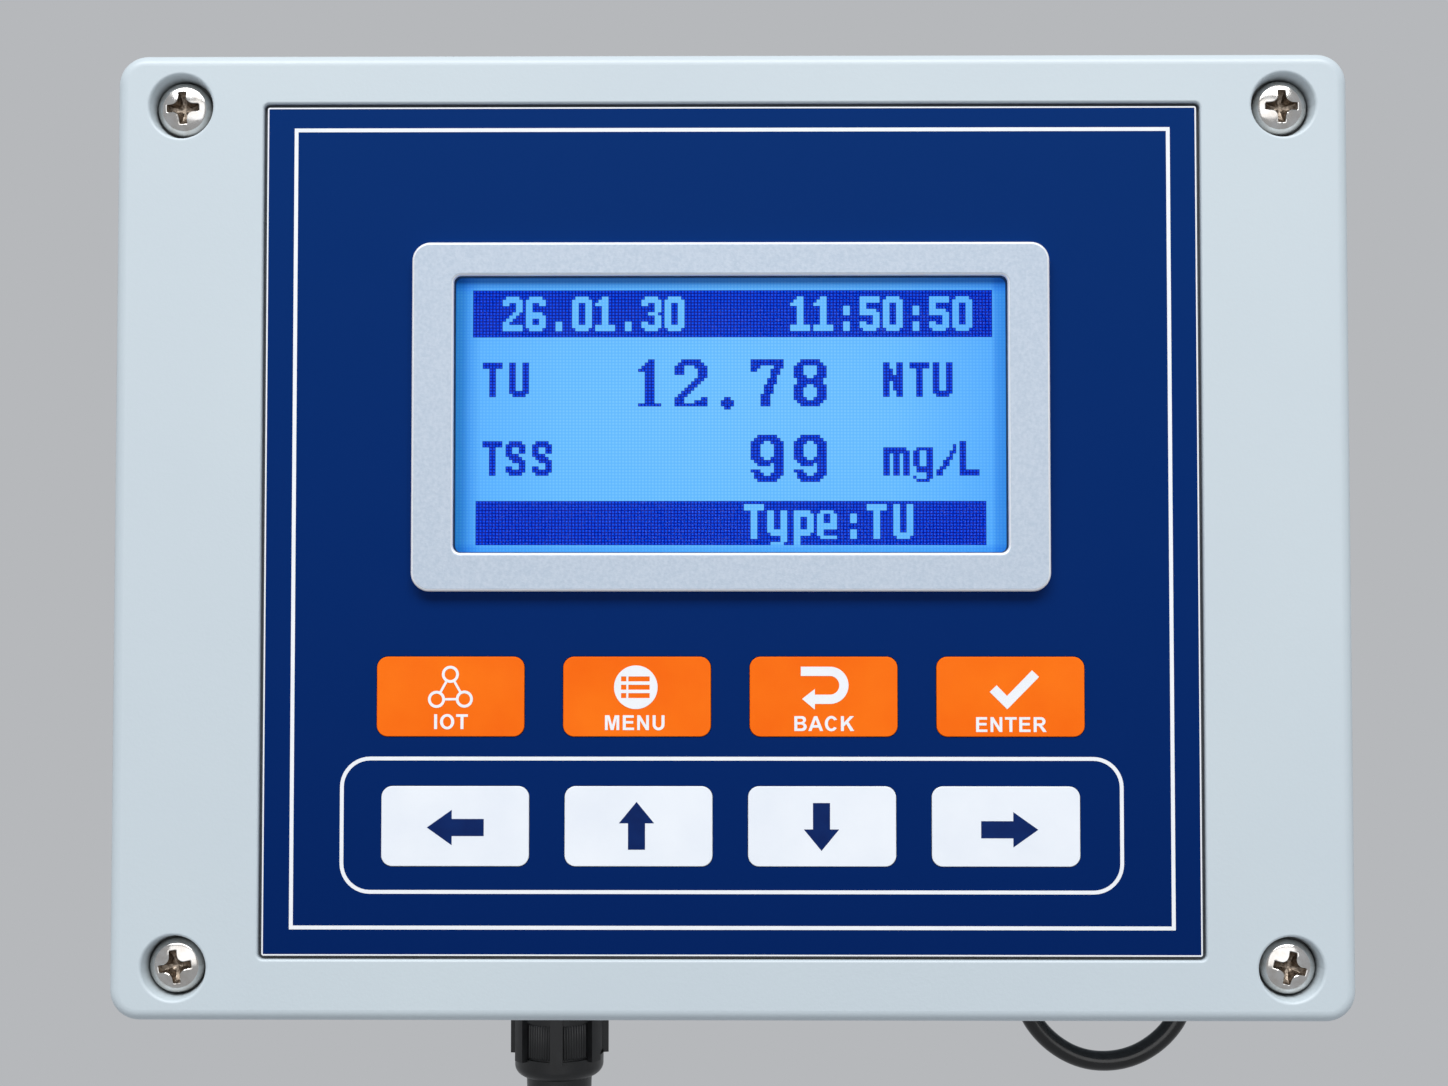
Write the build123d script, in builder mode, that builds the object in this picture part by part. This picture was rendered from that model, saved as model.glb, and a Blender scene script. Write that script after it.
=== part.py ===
"""Wall and rail mounted turbidity meter: a sealed two-part box with a display and eight keys.

Millimetres. +Z is up, +X is right seen from the front and the front faces -Y. The origin is
where the meter seats on its mounting rail: the front plane of the rail's flanges, halfway up
the rail and halfway along the bracket.
"""
import os
from math import pi, radians, tan

from build123d import *

# The box
ENCLOSURE_WIDTH = 181.6
ENCLOSURE_HEIGHT = 142.0
COVER_DEPTH = 22.0
BASE_DEPTH = 43.0
CORNER_RADIUS = 4.6
FRONT_FILLET = 1.8
BACK_FILLET = 1.2
COVER_DRAFT = 0.6
SIDE_WALL = 3.0
COVER_WALL = 3.0
BASE_FLOOR = 3.0
CAVITY_FILLET = 1.5
LIP_WIDTH = 1.3
LIP_HEIGHT = 3.0
LIP_CLEARANCE = 0.15
GASKET_HEIGHT = 1.2

# Cover screws and the pillars that they run in
SCREW_INSET_X = 9.8
SCREW_INSET_Z = 8.0
PILLAR_REACH = 4.4
SCREW_RADIUS = 2.0
SCREW_HEAD_RADIUS = 4.0
SCREW_HEAD_HEIGHT = 2.5
SCREW_MOUTH_RADIUS = 4.75
SCREW_MOUTH_ROUND = 0.45
SCREW_SEAT_RADIUS = 4.2
SCREW_SEAT_DEPTH = 3.0
SCREW_HOLE_CLEARANCE = 0.2
CROSS_WIDTH = 0.95
CROSS_SPAN = 4.7
CROSS_DEPTH = 1.5
INSERT_RADIUS = 3.0
INSERT_LENGTH = 8.0
THREAD_CLEARANCE = 0.05

# Overlay, display bezel and lens
OVERLAY_Z = 0.8
OVERLAY_MARGIN_X = 22.55
OVERLAY_MARGIN_Z = 8.95
OVERLAY_THICKNESS = 0.85
OVERLAY_GAP = 0.5
OVERLAY_CORNER = 0.3
RECESS_DEPTH = 1.2
RECESS_ROUND = 0.35
DISPLAY_X = -0.1
DISPLAY_Z = 17.1
BEZEL_WIDTH = 93.0
BEZEL_HEIGHT = 51.0
BEZEL_RADIUS = 2.7
BEZEL_PROUD = 1.2
BEZEL_EDGE = 0.45
FIT_GAP = 0.1
SKIRT_RADIUS = 1.1
VIEW_WIDTH = 80.8
VIEW_HEIGHT = 40.5
VIEW_RADIUS = 1.1
VIEW_LIFT = 0.35
LENS_BORDER = 1.0
LENS_THICKNESS = 1.0
LENS_FRONT = 0.7

# Display module behind the bezel
MODULE_FRONT = 2.2
MODULE_BORDER_X = 3.6
MODULE_BORDER_Z = 2.6
MODULE_SHEET = 0.5
MODULE_GLASS = 2.2
MODULE_LIGHT = 2.8
MODULE_OVERLAP = 0.6
BOARD_THICKNESS = 1.6
LCD_BOARD_WIDTH = 100.0
LCD_BOARD_HEIGHT = 62.0
LCD_SCREW_INSET = 3.0

# Keys, their switches and the board behind them
KEY_WIDTH = 21.5
KEY_HEIGHT = 11.6
KEY_RADIUS = 1.6
KEY_PITCH_TOP = 27.16
KEY_PITCH_BOTTOM = 26.67
KEY_ROW_X = -0.14
KEY_ROW_TOP_Z = -23.7
KEY_ROW_BOTTOM_Z = -42.5
KEY_PROUD = 0.15
KEY_EDGE = 0.12
KEY_GAP = 0.08
KEY_RIM = 1.0
KEY_RIM_THICKNESS = 0.8
KEY_STEM_RADIUS = 1.75
KEY_STEM_LENGTH = 2.6
KEY_STEM_CLEARANCE = 0.1
KEY_TRAVEL = 0.5
SWITCH_SIZE = 6.0
SWITCH_HEIGHT = 3.6
SWITCH_ENTRY = 0.5
SWITCH_BOTTOM_ROOM = 0.3
KEYPAD_BOARD_WIDTH = 122.0
KEYPAD_BOARD_HEIGHT = 37.0
KEYPAD_BOARD_GAP = 0.7
KEYPAD_SCREW_INSET_X = 4.0
KEYPAD_SCREW_INSET_Z = 3.5

# Small screws that hold the boards
BOSS_RADIUS = 3.0
SMALL_SCREW_RADIUS = 1.25
SMALL_HEAD_RADIUS = 2.2
SMALL_HEAD_HEIGHT = 1.5
SMALL_SCREW_GRIP = 3.5
BOSS_PILOT_ROOM = 0.5

# Main board on the floor of the base
MAIN_BOARD_MARGIN_X = 15.8
MAIN_BOARD_MARGIN_Z = 21.0
MAIN_BOARD_STANDOFF = 6.0
MAIN_BOARD_CORNER = 2.0
MAIN_SCREW_INSET = 5.0
MAIN_SCREW_LIFT = 14.0
MAIN_SCREW_RADIUS = 1.5
MAIN_HEAD_RADIUS = 2.8
MAIN_HEAD_HEIGHT = 2.0
MAIN_SCREW_GRIP = 5.0
MAIN_BOSS_RADIUS = 3.5
POLE_PITCH = 5.0
POLE_COUNTS = (8, 8, 5)
TERMINAL_DEPTH = 8.2
TERMINAL_HEIGHT = 10.0
TERMINAL_GAP = 6.0
TERMINAL_INSET = 1.5
TERMINAL_SCREW_RADIUS = 1.5
TERMINAL_SCREW_LENGTH = 4.0
TERMINAL_WELL = 1.2
WIRE_ENTRY_RADIUS = 1.4
WIRE_ENTRY_DEPTH = 5.0
POWER_WIDTH = 48.0
POWER_HEIGHT = 28.0
POWER_DEPTH = 21.0
POWER_INSET_X = 27.0
POWER_INSET_Z = 24.0
RELAY_WIDTH = 15.5
RELAY_HEIGHT = 19.0
RELAY_DEPTH = 15.5
RELAY_PITCH = 19.0
RELAY_INSET_X = 30.0
RELAY_Z = -18.0
CAPACITOR_RADIUS = 5.0
CAPACITOR_LENGTH = 16.0
CAPACITOR_PITCH = 13.0
CAPACITOR_GAP = 2.0
CAPACITOR_INSET_Z = 23.0
CHIP_SIZE = 14.0
CHIP_THICKNESS = 1.4
CHIP_X = -2.0
CHIP_Z = -8.0
CELL_RADIUS = 10.0
CELL_THICKNESS = 3.2
HOLDER_BASE = 1.2
HOLDER_RIM = 1.2
HOLDER_FIT = 0.1
CELL_INSET_X = 13.0
CELL_INSET_Z = 20.0
FUSE_RADIUS = 2.6
FUSE_LENGTH = 20.0
FUSE_CAP = 5.0
FUSE_CLIP_THICKNESS = 0.8
FUSE_LIFT = 4.0
FUSE_INSET_X = 29.0
FUSE_Z = -18.0
HEADER_WIDTH = 20.0
HEADER_DEPTH = 8.0
HEADER_HEIGHT = 6.0
HEADER_X = 20.0
HEADER_INSET_Z = 38.0
RIBBON_WIDTH = 16.5
RIBBON_THICKNESS = 0.9
RIBBON_BEND = 4.0

# Cable gland in the bottom wall
GLAND_X = -28.9
GLAND_SETBACK = 18.0
GLAND_THREAD_RADIUS = 6.15
GLAND_HOLE_CLEARANCE = 0.1
ORING_WIDTH = 1.2
ORING_THICKNESS = 1.2
GLAND_HEX = 15.0
GLAND_HEX_HEIGHT = 5.6
GLAND_HEX_BREAK = 0.6
GLAND_SPIGOT_RADIUS = 6.0
GLAND_SPIGOT_LENGTH = 7.6
GLAND_BORE_RADIUS = 3.9
GLAND_THREAD_INSIDE = 6.0
LOCKNUT_HEX = 17.0
LOCKNUT_HEIGHT = 3.0
SEAL_RADIUS = 4.8
SEAL_BORE_RADIUS = 3.4
SEAL_LENGTH = 6.6
CLAW_SLOTS = 6
CLAW_SLOT_WIDTH = 1.2
CLAW_SLOT_LENGTH = 4.0
NUT_RADIUS = 7.55
NUT_END_RADIUS = 7.35
NUT_POCKET_RADIUS = 7.05
NUT_POCKET_TOP = 1.2
NUT_POCKET_LENGTH = 6.1
NUT_RIB_RADIUS = 8.25
NUT_RIB_WIDTH = 2.1
NUT_RIBS = 7
NUT_RIB_TURN = 88.0
NUT_RIB_LENGTH = 7.7
NUT_LENGTH = 10.8
NUT_SHOULDER = 1.9
NUT_BORE_CLEARANCE = 0.1
NUT_FLANGE_ROOM = 0.3
SLEEVE_RADIUS = 5.45
SLEEVE_BORE_RADIUS = 3.2
SLEEVE_FLANGE_WIDTH = 0.6
SLEEVE_FLANGE_THICKNESS = 1.2
SLEEVE_ROOM = 0.3
SLEEVE_LENGTH = 14.7
SLEEVE_END_RADIUS = 5.0
SLEEVE_FIT = 0.05
SLEEVE_EDGE = 0.6

# Short link cable that leaves the bottom wall and goes back into it
LINK_INSET_X = 31.0
LINK_SETBACK = 6.0
LINK_RADIUS = 1.55
LINK_LOOP_RADIUS = 13.2
LINK_ARC_SHARE = 0.45
BUSH_WALL = 1.15
BUSH_FLANGE_RADIUS = 3.9
BUSH_FLANGE_THICKNESS = 1.2
BUSH_LIP = 0.3
BUSH_LIP_THICKNESS = 0.8
BUSH_FIT = 0.05
BUSH_EDGE = 0.4

# Holes for fastening the base to a wall
WALL_HOLE_INSET_X = 22.8
WALL_HOLE_INSET_Z = 12.0
WALL_HOLE_RADIUS = 2.3
WALL_SINK_RADIUS = 4.2
WALL_SINK_DEPTH = 1.0

# Rail bracket, its latch and spring; the rail is a 35 mm top-hat rail
RAIL_ABOVE_CENTRE = 34.0
RAIL_WIDTH = 35.0
RAIL_FLANGE = 1.0
RAIL_CLEARANCE = 0.25
BRACKET_THICKNESS = 7.0
BRACKET_WIDTH = 48.0
BRACKET_TOP = 24.5
BRACKET_BOTTOM = 32.0
BRACKET_CORNER = 3.0
HOOK_LIP = 1.8
HOOK_THICKNESS = 2.0
HOOK_CHAMFER = 0.8
BRACKET_SCREW_SPACING_X = 37.0
BRACKET_SCREW_SPACING_Z = 17.0
BRACKET_SCREW_RADIUS = 1.5
BRACKET_HEAD_RADIUS = 2.75
BRACKET_HEAD_HEIGHT = 2.2
BRACKET_SINK_DEPTH = 3.2
BRACKET_SINK_CLEARANCE = 0.4
BRACKET_INSERT_RADIUS = 2.3
BRACKET_INSERT_LENGTH = 6.0
BRACKET_BOSS_RADIUS = 4.0
BRACKET_BOSS_HEIGHT = 5.0
BRACKET_SCREW_GRIP = 5.0
POCKET_DEPTH = 3.0
POCKET_WALL = 2.0
POCKET_CORNER = 1.0
LATCH_WIDTH = 18.0
LATCH_THICKNESS = 4.5
LATCH_SIDE_GAP = 0.2
LATCH_FACE_GAP = 0.15
LATCH_TOP = 13.0
LATCH_TAB = 5.0
LATCH_TRAVEL = 3.5
LATCH_HOOK_WIDTH = 10.0
LATCH_HOOK_HEIGHT = 3.0
LATCH_SLOT_GAP = 0.2
LATCH_END_ROOM = 2.0
PRY_SLOT_WIDTH = 7.0
PRY_SLOT_HEIGHT = 1.6
PEG_WIDTH = 5.0
PEG_HEIGHT = 1.8
PEG_BOTTOM = 30.0
WINDOW_GAP = 0.5
SPRING_LENGTH = 6.6
SPRING_RADIUS = 1.7
SPRING_WIRE_RADIUS = 0.25
SPRING_TURNS = 5

FRONT_Y = -(BRACKET_THICKNESS + BASE_DEPTH + COVER_DEPTH)
CENTRE_Z = -RAIL_ABOVE_CENTRE
BOTTOM_Z = CENTRE_Z - ENCLOSURE_HEIGHT / 2
TOTAL_DEPTH = COVER_DEPTH + BASE_DEPTH


def face_plane(depth, x=0.0, z=0.0):
    """Plane parallel to the front face and that far behind it, seen from the front."""
    return Plane(origin=(x, FRONT_Y + depth, CENTRE_Z + z), x_dir=(1, 0, 0), z_dir=(0, -1, 0))


def under_plane(drop, x, depth):
    """Level plane that far below the bottom wall, facing down."""
    return Plane(origin=(x, FRONT_Y + depth, BOTTOM_Z - drop), x_dir=(1, 0, 0), z_dir=(0, 0, -1))


def rail_plane(y, x=0.0, z=0.0):
    """Plane parallel to the rail, seen from the front, with z measured from the rail's middle."""
    return Plane(origin=(x, y, z), x_dir=(1, 0, 0), z_dir=(0, -1, 0))


def write(piece, name):
    """Label a finished piece and write it to its own file."""
    piece.part.label = name
    export_step(piece.part, f"parts/{name}.step")
    print("wrote", name, flush=True)


def hollow_outline(grow=0.0):
    """Outline of the hollow in both halves: a rectangle that steps round the screw pillars."""
    with BuildSketch() as outline:
        Rectangle(hollow_width, hollow_height)
        with GridLocations(hollow_width, hollow_height, 2, 2):
            Rectangle(2 * pillar_width, 2 * pillar_height, mode=Mode.SUBTRACT)
        fillet(outline.vertices(), CAVITY_FILLET)
        if grow:
            offset(amount=grow, kind=Kind.ARC, mode=Mode.REPLACE)
    return outline.sketch


os.makedirs("parts", exist_ok=True)

hollow_width = ENCLOSURE_WIDTH - 2 * SIDE_WALL
hollow_height = ENCLOSURE_HEIGHT - 2 * SIDE_WALL
cover_screw_span_x = ENCLOSURE_WIDTH - 2 * SCREW_INSET_X
cover_screw_span_z = ENCLOSURE_HEIGHT - 2 * SCREW_INSET_Z
pillar_width = hollow_width / 2 - (cover_screw_span_x / 2 - PILLAR_REACH)
pillar_height = hollow_height / 2 - (cover_screw_span_z / 2 - PILLAR_REACH)
hollow = hollow_outline()
lip_outline = hollow_outline(LIP_WIDTH)
rebate_outline = hollow_outline(LIP_WIDTH + LIP_CLEARANCE)

overlay_width = ENCLOSURE_WIDTH - 2 * OVERLAY_MARGIN_X
overlay_height = ENCLOSURE_HEIGHT - 2 * OVERLAY_MARGIN_Z
wall_hole_span_x = ENCLOSURE_WIDTH - 2 * WALL_HOLE_INSET_X
wall_hole_span_z = ENCLOSURE_HEIGHT - 2 * WALL_HOLE_INSET_Z
link_x = ENCLOSURE_WIDTH / 2 - LINK_INSET_X
link_depth = COVER_DEPTH + LINK_SETBACK
gland_depth = COVER_DEPTH + GLAND_SETBACK

# The boards and the places of their screws and parts, from the boards' own edges
lcd_screw_x = LCD_BOARD_WIDTH - 2 * LCD_SCREW_INSET
lcd_screw_z = LCD_BOARD_HEIGHT - 2 * LCD_SCREW_INSET
keypad_board_z = DISPLAY_Z - (LCD_BOARD_HEIGHT + KEYPAD_BOARD_HEIGHT) / 2 - KEYPAD_BOARD_GAP
keypad_screw_x = KEYPAD_BOARD_WIDTH - 2 * KEYPAD_SCREW_INSET_X
keypad_screw_z = KEYPAD_BOARD_HEIGHT - 2 * KEYPAD_SCREW_INSET_Z
main_board_width = ENCLOSURE_WIDTH - 2 * MAIN_BOARD_MARGIN_X
main_board_height = ENCLOSURE_HEIGHT - 2 * MAIN_BOARD_MARGIN_Z
board_side = main_board_width / 2
board_top = main_board_height / 2
main_screw_points = [
    (side * (board_side - MAIN_SCREW_INSET), z)
    for side in (-1, 1)
    for z in (MAIN_SCREW_LIFT - board_top, board_top - MAIN_SCREW_INSET)
]
power_x = POWER_INSET_X - board_side
power_z = board_top - POWER_INSET_Z
relay_x = board_side - RELAY_INSET_X
capacitor_x = power_x + POWER_WIDTH / 2 + CAPACITOR_GAP + CAPACITOR_PITCH + CAPACITOR_RADIUS
capacitor_z = board_top - CAPACITOR_INSET_Z
cell_x = board_side - CELL_INSET_X
cell_z = board_top - CELL_INSET_Z
fuse_x = FUSE_INSET_X - board_side
main_header_z = board_top - HEADER_INSET_Z

# Depths behind the front face that several pieces share
overlay_back = RECESS_DEPTH
overlay_front = RECESS_DEPTH - OVERLAY_THICKNESS
module_width = VIEW_WIDTH + 2 * LENS_BORDER + 2 * MODULE_BORDER_X
module_height = VIEW_HEIGHT + 2 * LENS_BORDER + 2 * MODULE_BORDER_Z
glass_width = module_width - 2 * MODULE_SHEET
glass_height = module_height - 2 * MODULE_SHEET
module_back = MODULE_FRONT + MODULE_SHEET + MODULE_GLASS + MODULE_LIGHT
lcd_board_back = module_back + BOARD_THICKNESS
bezel_skirt_width = module_width
bezel_skirt_height = module_height
window_width = bezel_skirt_width + 2 * FIT_GAP
window_height = bezel_skirt_height + 2 * FIT_GAP
key_front = overlay_front - KEY_PROUD
key_rim_back = COVER_WALL + KEY_RIM_THICKNESS
key_stem_end = key_rim_back + KEY_STEM_LENGTH
switch_front = key_stem_end - SWITCH_ENTRY
switch_back = switch_front + SWITCH_HEIGHT
keypad_board_back = switch_back + BOARD_THICKNESS
base_floor_front = TOTAL_DEPTH - BASE_FLOOR
main_board_back = base_floor_front - MAIN_BOARD_STANDOFF
main_board_front = main_board_back - BOARD_THICKNESS
terminal_lift = MAIN_BOARD_MARGIN_Z + TERMINAL_INSET
pocket_width = (BRACKET_SCREW_SPACING_X - 2 * BRACKET_HEAD_RADIUS - 4 * POCKET_WALL) / 2

key_places = {}
for row, pitch, z in (
    (("key_iot", "key_menu", "key_back", "key_enter"), KEY_PITCH_TOP, KEY_ROW_TOP_Z),
    (("key_left", "key_up", "key_down", "key_right"), KEY_PITCH_BOTTOM, KEY_ROW_BOTTOM_Z),
):
    for place, name in enumerate(row):
        key_places[name] = (KEY_ROW_X + (place - (len(row) - 1) / 2) * pitch, z)
key_points = list(key_places.values())
screw_points = [
    (side * cover_screw_span_x / 2, end * cover_screw_span_z / 2) for side in (-1, 1) for end in (-1, 1)
]
link_points = [(-LINK_LOOP_RADIUS, 0), (LINK_LOOP_RADIUS, 0)]
bush_neck_radius = LINK_RADIUS + BUSH_FIT + BUSH_WALL
lens_width = VIEW_WIDTH + 2 * LENS_BORDER
lens_height = VIEW_HEIGHT + 2 * LENS_BORDER

# Front cover: the moulded front half, recessed for the overlay and open for display and keys
with BuildPart() as front_cover:
    with BuildSketch(face_plane(COVER_DEPTH)):
        RectangleRounded(ENCLOSURE_WIDTH, ENCLOSURE_HEIGHT, CORNER_RADIUS)
    extrude(amount=COVER_DEPTH, taper=COVER_DRAFT)
    fillet(front_cover.faces().sort_by(Axis.Y)[0].edges(), FRONT_FILLET)
    with BuildSketch(face_plane(COVER_DEPTH)):
        add(hollow)
    extrude(amount=COVER_DEPTH - COVER_WALL, mode=Mode.SUBTRACT)
    with BuildSketch(face_plane(COVER_DEPTH)):
        add(rebate_outline)
        add(hollow, mode=Mode.SUBTRACT)
    extrude(amount=LIP_HEIGHT + GASKET_HEIGHT, mode=Mode.SUBTRACT)
    # bosses for the two boards that hang in the cover
    with BuildSketch(face_plane(COVER_WALL, DISPLAY_X, DISPLAY_Z)):
        with GridLocations(lcd_screw_x, lcd_screw_z, 2, 2):
            Circle(BOSS_RADIUS)
    extrude(amount=COVER_WALL - module_back)
    with BuildSketch(face_plane(COVER_WALL, 0, keypad_board_z)):
        with GridLocations(keypad_screw_x, keypad_screw_z, 2, 2):
            Circle(BOSS_RADIUS)
    extrude(amount=COVER_WALL - switch_back)
    with BuildSketch(face_plane(module_back, DISPLAY_X, DISPLAY_Z)):
        with GridLocations(lcd_screw_x, lcd_screw_z, 2, 2):
            Circle(SMALL_SCREW_RADIUS + THREAD_CLEARANCE)
    extrude(amount=SMALL_SCREW_GRIP + BOSS_PILOT_ROOM, mode=Mode.SUBTRACT)
    with BuildSketch(face_plane(switch_back, 0, keypad_board_z)):
        with GridLocations(keypad_screw_x, keypad_screw_z, 2, 2):
            Circle(SMALL_SCREW_RADIUS + THREAD_CLEARANCE)
    extrude(amount=SMALL_SCREW_GRIP + BOSS_PILOT_ROOM, mode=Mode.SUBTRACT)
    # recess for the overlay, then the windows through its floor
    with BuildSketch(face_plane(0, 0, OVERLAY_Z)):
        RectangleRounded(overlay_width + 2 * OVERLAY_GAP, overlay_height + 2 * OVERLAY_GAP,
                         OVERLAY_CORNER + OVERLAY_GAP)
    extrude(amount=-RECESS_DEPTH, mode=Mode.SUBTRACT)
    fillet(front_cover.faces().sort_by(Axis.Y)[0].inner_wires().edges(), RECESS_ROUND)
    with BuildSketch(face_plane(0, DISPLAY_X, DISPLAY_Z)):
        RectangleRounded(window_width, window_height, SKIRT_RADIUS)
    extrude(amount=-COVER_WALL, mode=Mode.SUBTRACT)
    with BuildSketch(face_plane(0)):
        with Locations(key_points):
            RectangleRounded(KEY_WIDTH + 2 * KEY_GAP, KEY_HEIGHT + 2 * KEY_GAP, KEY_RADIUS + KEY_GAP)
    extrude(amount=-COVER_WALL, mode=Mode.SUBTRACT)
    # cover screw wells, wider at the rounded mouth than at the seat, and the holes below them
    for x, z in screw_points:
        with Locations(face_plane(SCREW_SEAT_DEPTH / 2, x, z)):
            Cone(SCREW_SEAT_RADIUS, SCREW_MOUTH_RADIUS, SCREW_SEAT_DEPTH, mode=Mode.SUBTRACT)
    mouths = front_cover.faces().sort_by(Axis.Y)[0].edges().filter_by(lambda edge: edge.is_closed)
    fillet(mouths, SCREW_MOUTH_ROUND)
    with BuildSketch(face_plane(0)):
        with Locations(screw_points):
            Circle(SCREW_RADIUS + SCREW_HOLE_CLEARANCE)
    extrude(amount=-COVER_DEPTH, mode=Mode.SUBTRACT)
write(front_cover, "front_cover")

# Base: the moulded rear half with its sealing lip, floor bosses and openings
with BuildPart() as base_housing:
    with BuildSketch(face_plane(COVER_DEPTH)):
        RectangleRounded(ENCLOSURE_WIDTH, ENCLOSURE_HEIGHT, CORNER_RADIUS)
    extrude(amount=-BASE_DEPTH)
    fillet(base_housing.faces().sort_by(Axis.Y)[-1].edges(), BACK_FILLET)
    with BuildSketch(face_plane(COVER_DEPTH)):
        add(hollow)
    extrude(amount=BASE_FLOOR - BASE_DEPTH, mode=Mode.SUBTRACT)
    with BuildSketch(face_plane(COVER_DEPTH)):
        add(lip_outline)
        add(hollow, mode=Mode.SUBTRACT)
    extrude(amount=LIP_HEIGHT)
    with BuildSketch(face_plane(COVER_DEPTH)):
        with Locations(screw_points):
            Circle(INSERT_RADIUS)
    extrude(amount=-INSERT_LENGTH, mode=Mode.SUBTRACT)
    # bosses for the main board and, on the rail bracket's screws, for its inserts
    with BuildSketch(face_plane(base_floor_front)):
        with Locations(main_screw_points):
            Circle(MAIN_BOSS_RADIUS)
    extrude(amount=MAIN_BOARD_STANDOFF)
    with BuildSketch(face_plane(main_board_back)):
        with Locations(main_screw_points):
            Circle(MAIN_SCREW_RADIUS + THREAD_CLEARANCE)
    extrude(amount=-(MAIN_SCREW_GRIP + BOSS_PILOT_ROOM), mode=Mode.SUBTRACT)
    with BuildSketch(face_plane(base_floor_front, 0, RAIL_ABOVE_CENTRE)):
        with GridLocations(BRACKET_SCREW_SPACING_X, BRACKET_SCREW_SPACING_Z, 2, 2):
            Circle(BRACKET_BOSS_RADIUS)
    extrude(amount=BRACKET_BOSS_HEIGHT)
    with BuildSketch(face_plane(TOTAL_DEPTH, 0, RAIL_ABOVE_CENTRE)):
        with GridLocations(BRACKET_SCREW_SPACING_X, BRACKET_SCREW_SPACING_Z, 2, 2):
            Circle(BRACKET_INSERT_RADIUS)
    extrude(amount=BRACKET_INSERT_LENGTH, mode=Mode.SUBTRACT)
    # wall fastening holes, sunk a little from the inside
    with BuildSketch(face_plane(TOTAL_DEPTH)):
        with GridLocations(wall_hole_span_x, wall_hole_span_z, 2, 2):
            Circle(WALL_HOLE_RADIUS)
    extrude(amount=BASE_FLOOR, mode=Mode.SUBTRACT)
    with BuildSketch(face_plane(base_floor_front)):
        with GridLocations(wall_hole_span_x, wall_hole_span_z, 2, 2):
            Circle(WALL_SINK_RADIUS)
    extrude(amount=-WALL_SINK_DEPTH, mode=Mode.SUBTRACT)
    # the bottom wall's holes for the gland and the two bushes
    with BuildSketch(under_plane(0, GLAND_X, gland_depth)):
        Circle(GLAND_THREAD_RADIUS + GLAND_HOLE_CLEARANCE)
    extrude(amount=-SIDE_WALL, mode=Mode.SUBTRACT)
    with BuildSketch(under_plane(0, link_x, link_depth)):
        with Locations(*link_points):
            Circle(bush_neck_radius)
    extrude(amount=-SIDE_WALL, mode=Mode.SUBTRACT)
    with BuildSketch(under_plane(-SIDE_WALL, link_x, link_depth)):
        with Locations(*link_points):
            Circle(bush_neck_radius + BUSH_LIP + FIT_GAP)
    extrude(amount=-BUSH_LIP_THICKNESS, mode=Mode.SUBTRACT)
write(base_housing, "base_housing")

# Gasket: a rubber frame squeezed between the base's lip and the cover
with BuildPart() as cover_gasket:
    with BuildSketch(face_plane(COVER_DEPTH - LIP_HEIGHT)):
        add(lip_outline)
        add(hollow, mode=Mode.SUBTRACT)
    extrude(amount=GASKET_HEIGHT)
write(cover_gasket, "cover_gasket")

# Cover screws: pan heads with a cross recess, shanks that run into the base's brass inserts
with BuildPart() as cover_screws:
    with BuildSketch(face_plane(SCREW_SEAT_DEPTH)):
        with Locations(screw_points):
            Circle(SCREW_HEAD_RADIUS)
    extrude(amount=SCREW_HEAD_HEIGHT)
    fillet(cover_screws.faces().filter_by(Axis.Y).group_by(Axis.Y)[0].edges(), SCREW_HEAD_HEIGHT / 2)
    with BuildSketch(face_plane(SCREW_SEAT_DEPTH)):
        with Locations(screw_points):
            Circle(SCREW_RADIUS)
    extrude(amount=-(COVER_DEPTH - SCREW_SEAT_DEPTH + INSERT_LENGTH))
    with BuildSketch(face_plane(SCREW_SEAT_DEPTH - SCREW_HEAD_HEIGHT)):
        with Locations(screw_points):
            Rectangle(CROSS_SPAN, CROSS_WIDTH)
            Rectangle(CROSS_WIDTH, CROSS_SPAN)
    extrude(amount=-CROSS_DEPTH, mode=Mode.SUBTRACT)
write(cover_screws, "cover_screws")

# Brass inserts in the base's pillars
with BuildPart() as cover_inserts:
    with BuildSketch(face_plane(COVER_DEPTH)):
        with Locations(screw_points):
            Circle(INSERT_RADIUS)
            Circle(SCREW_RADIUS + THREAD_CLEARANCE, mode=Mode.SUBTRACT)
    extrude(amount=-INSERT_LENGTH)
write(cover_inserts, "cover_inserts")

# Front overlay: a printed sheet stuck in the cover's recess, cut out for display and keys
with BuildPart() as front_overlay:
    with BuildSketch(face_plane(overlay_back)) as overlay_outline:
        with Locations((0, OVERLAY_Z)):
            RectangleRounded(overlay_width, overlay_height, OVERLAY_CORNER)
        with Locations((DISPLAY_X, DISPLAY_Z)):
            RectangleRounded(window_width, window_height, SKIRT_RADIUS, mode=Mode.SUBTRACT)
        with Locations(key_points):
            RectangleRounded(KEY_WIDTH + 2 * KEY_GAP, KEY_HEIGHT + 2 * KEY_GAP,
                             KEY_RADIUS + KEY_GAP, mode=Mode.SUBTRACT)
    extrude(amount=OVERLAY_THICKNESS)
write(front_overlay, "front_overlay")

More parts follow.
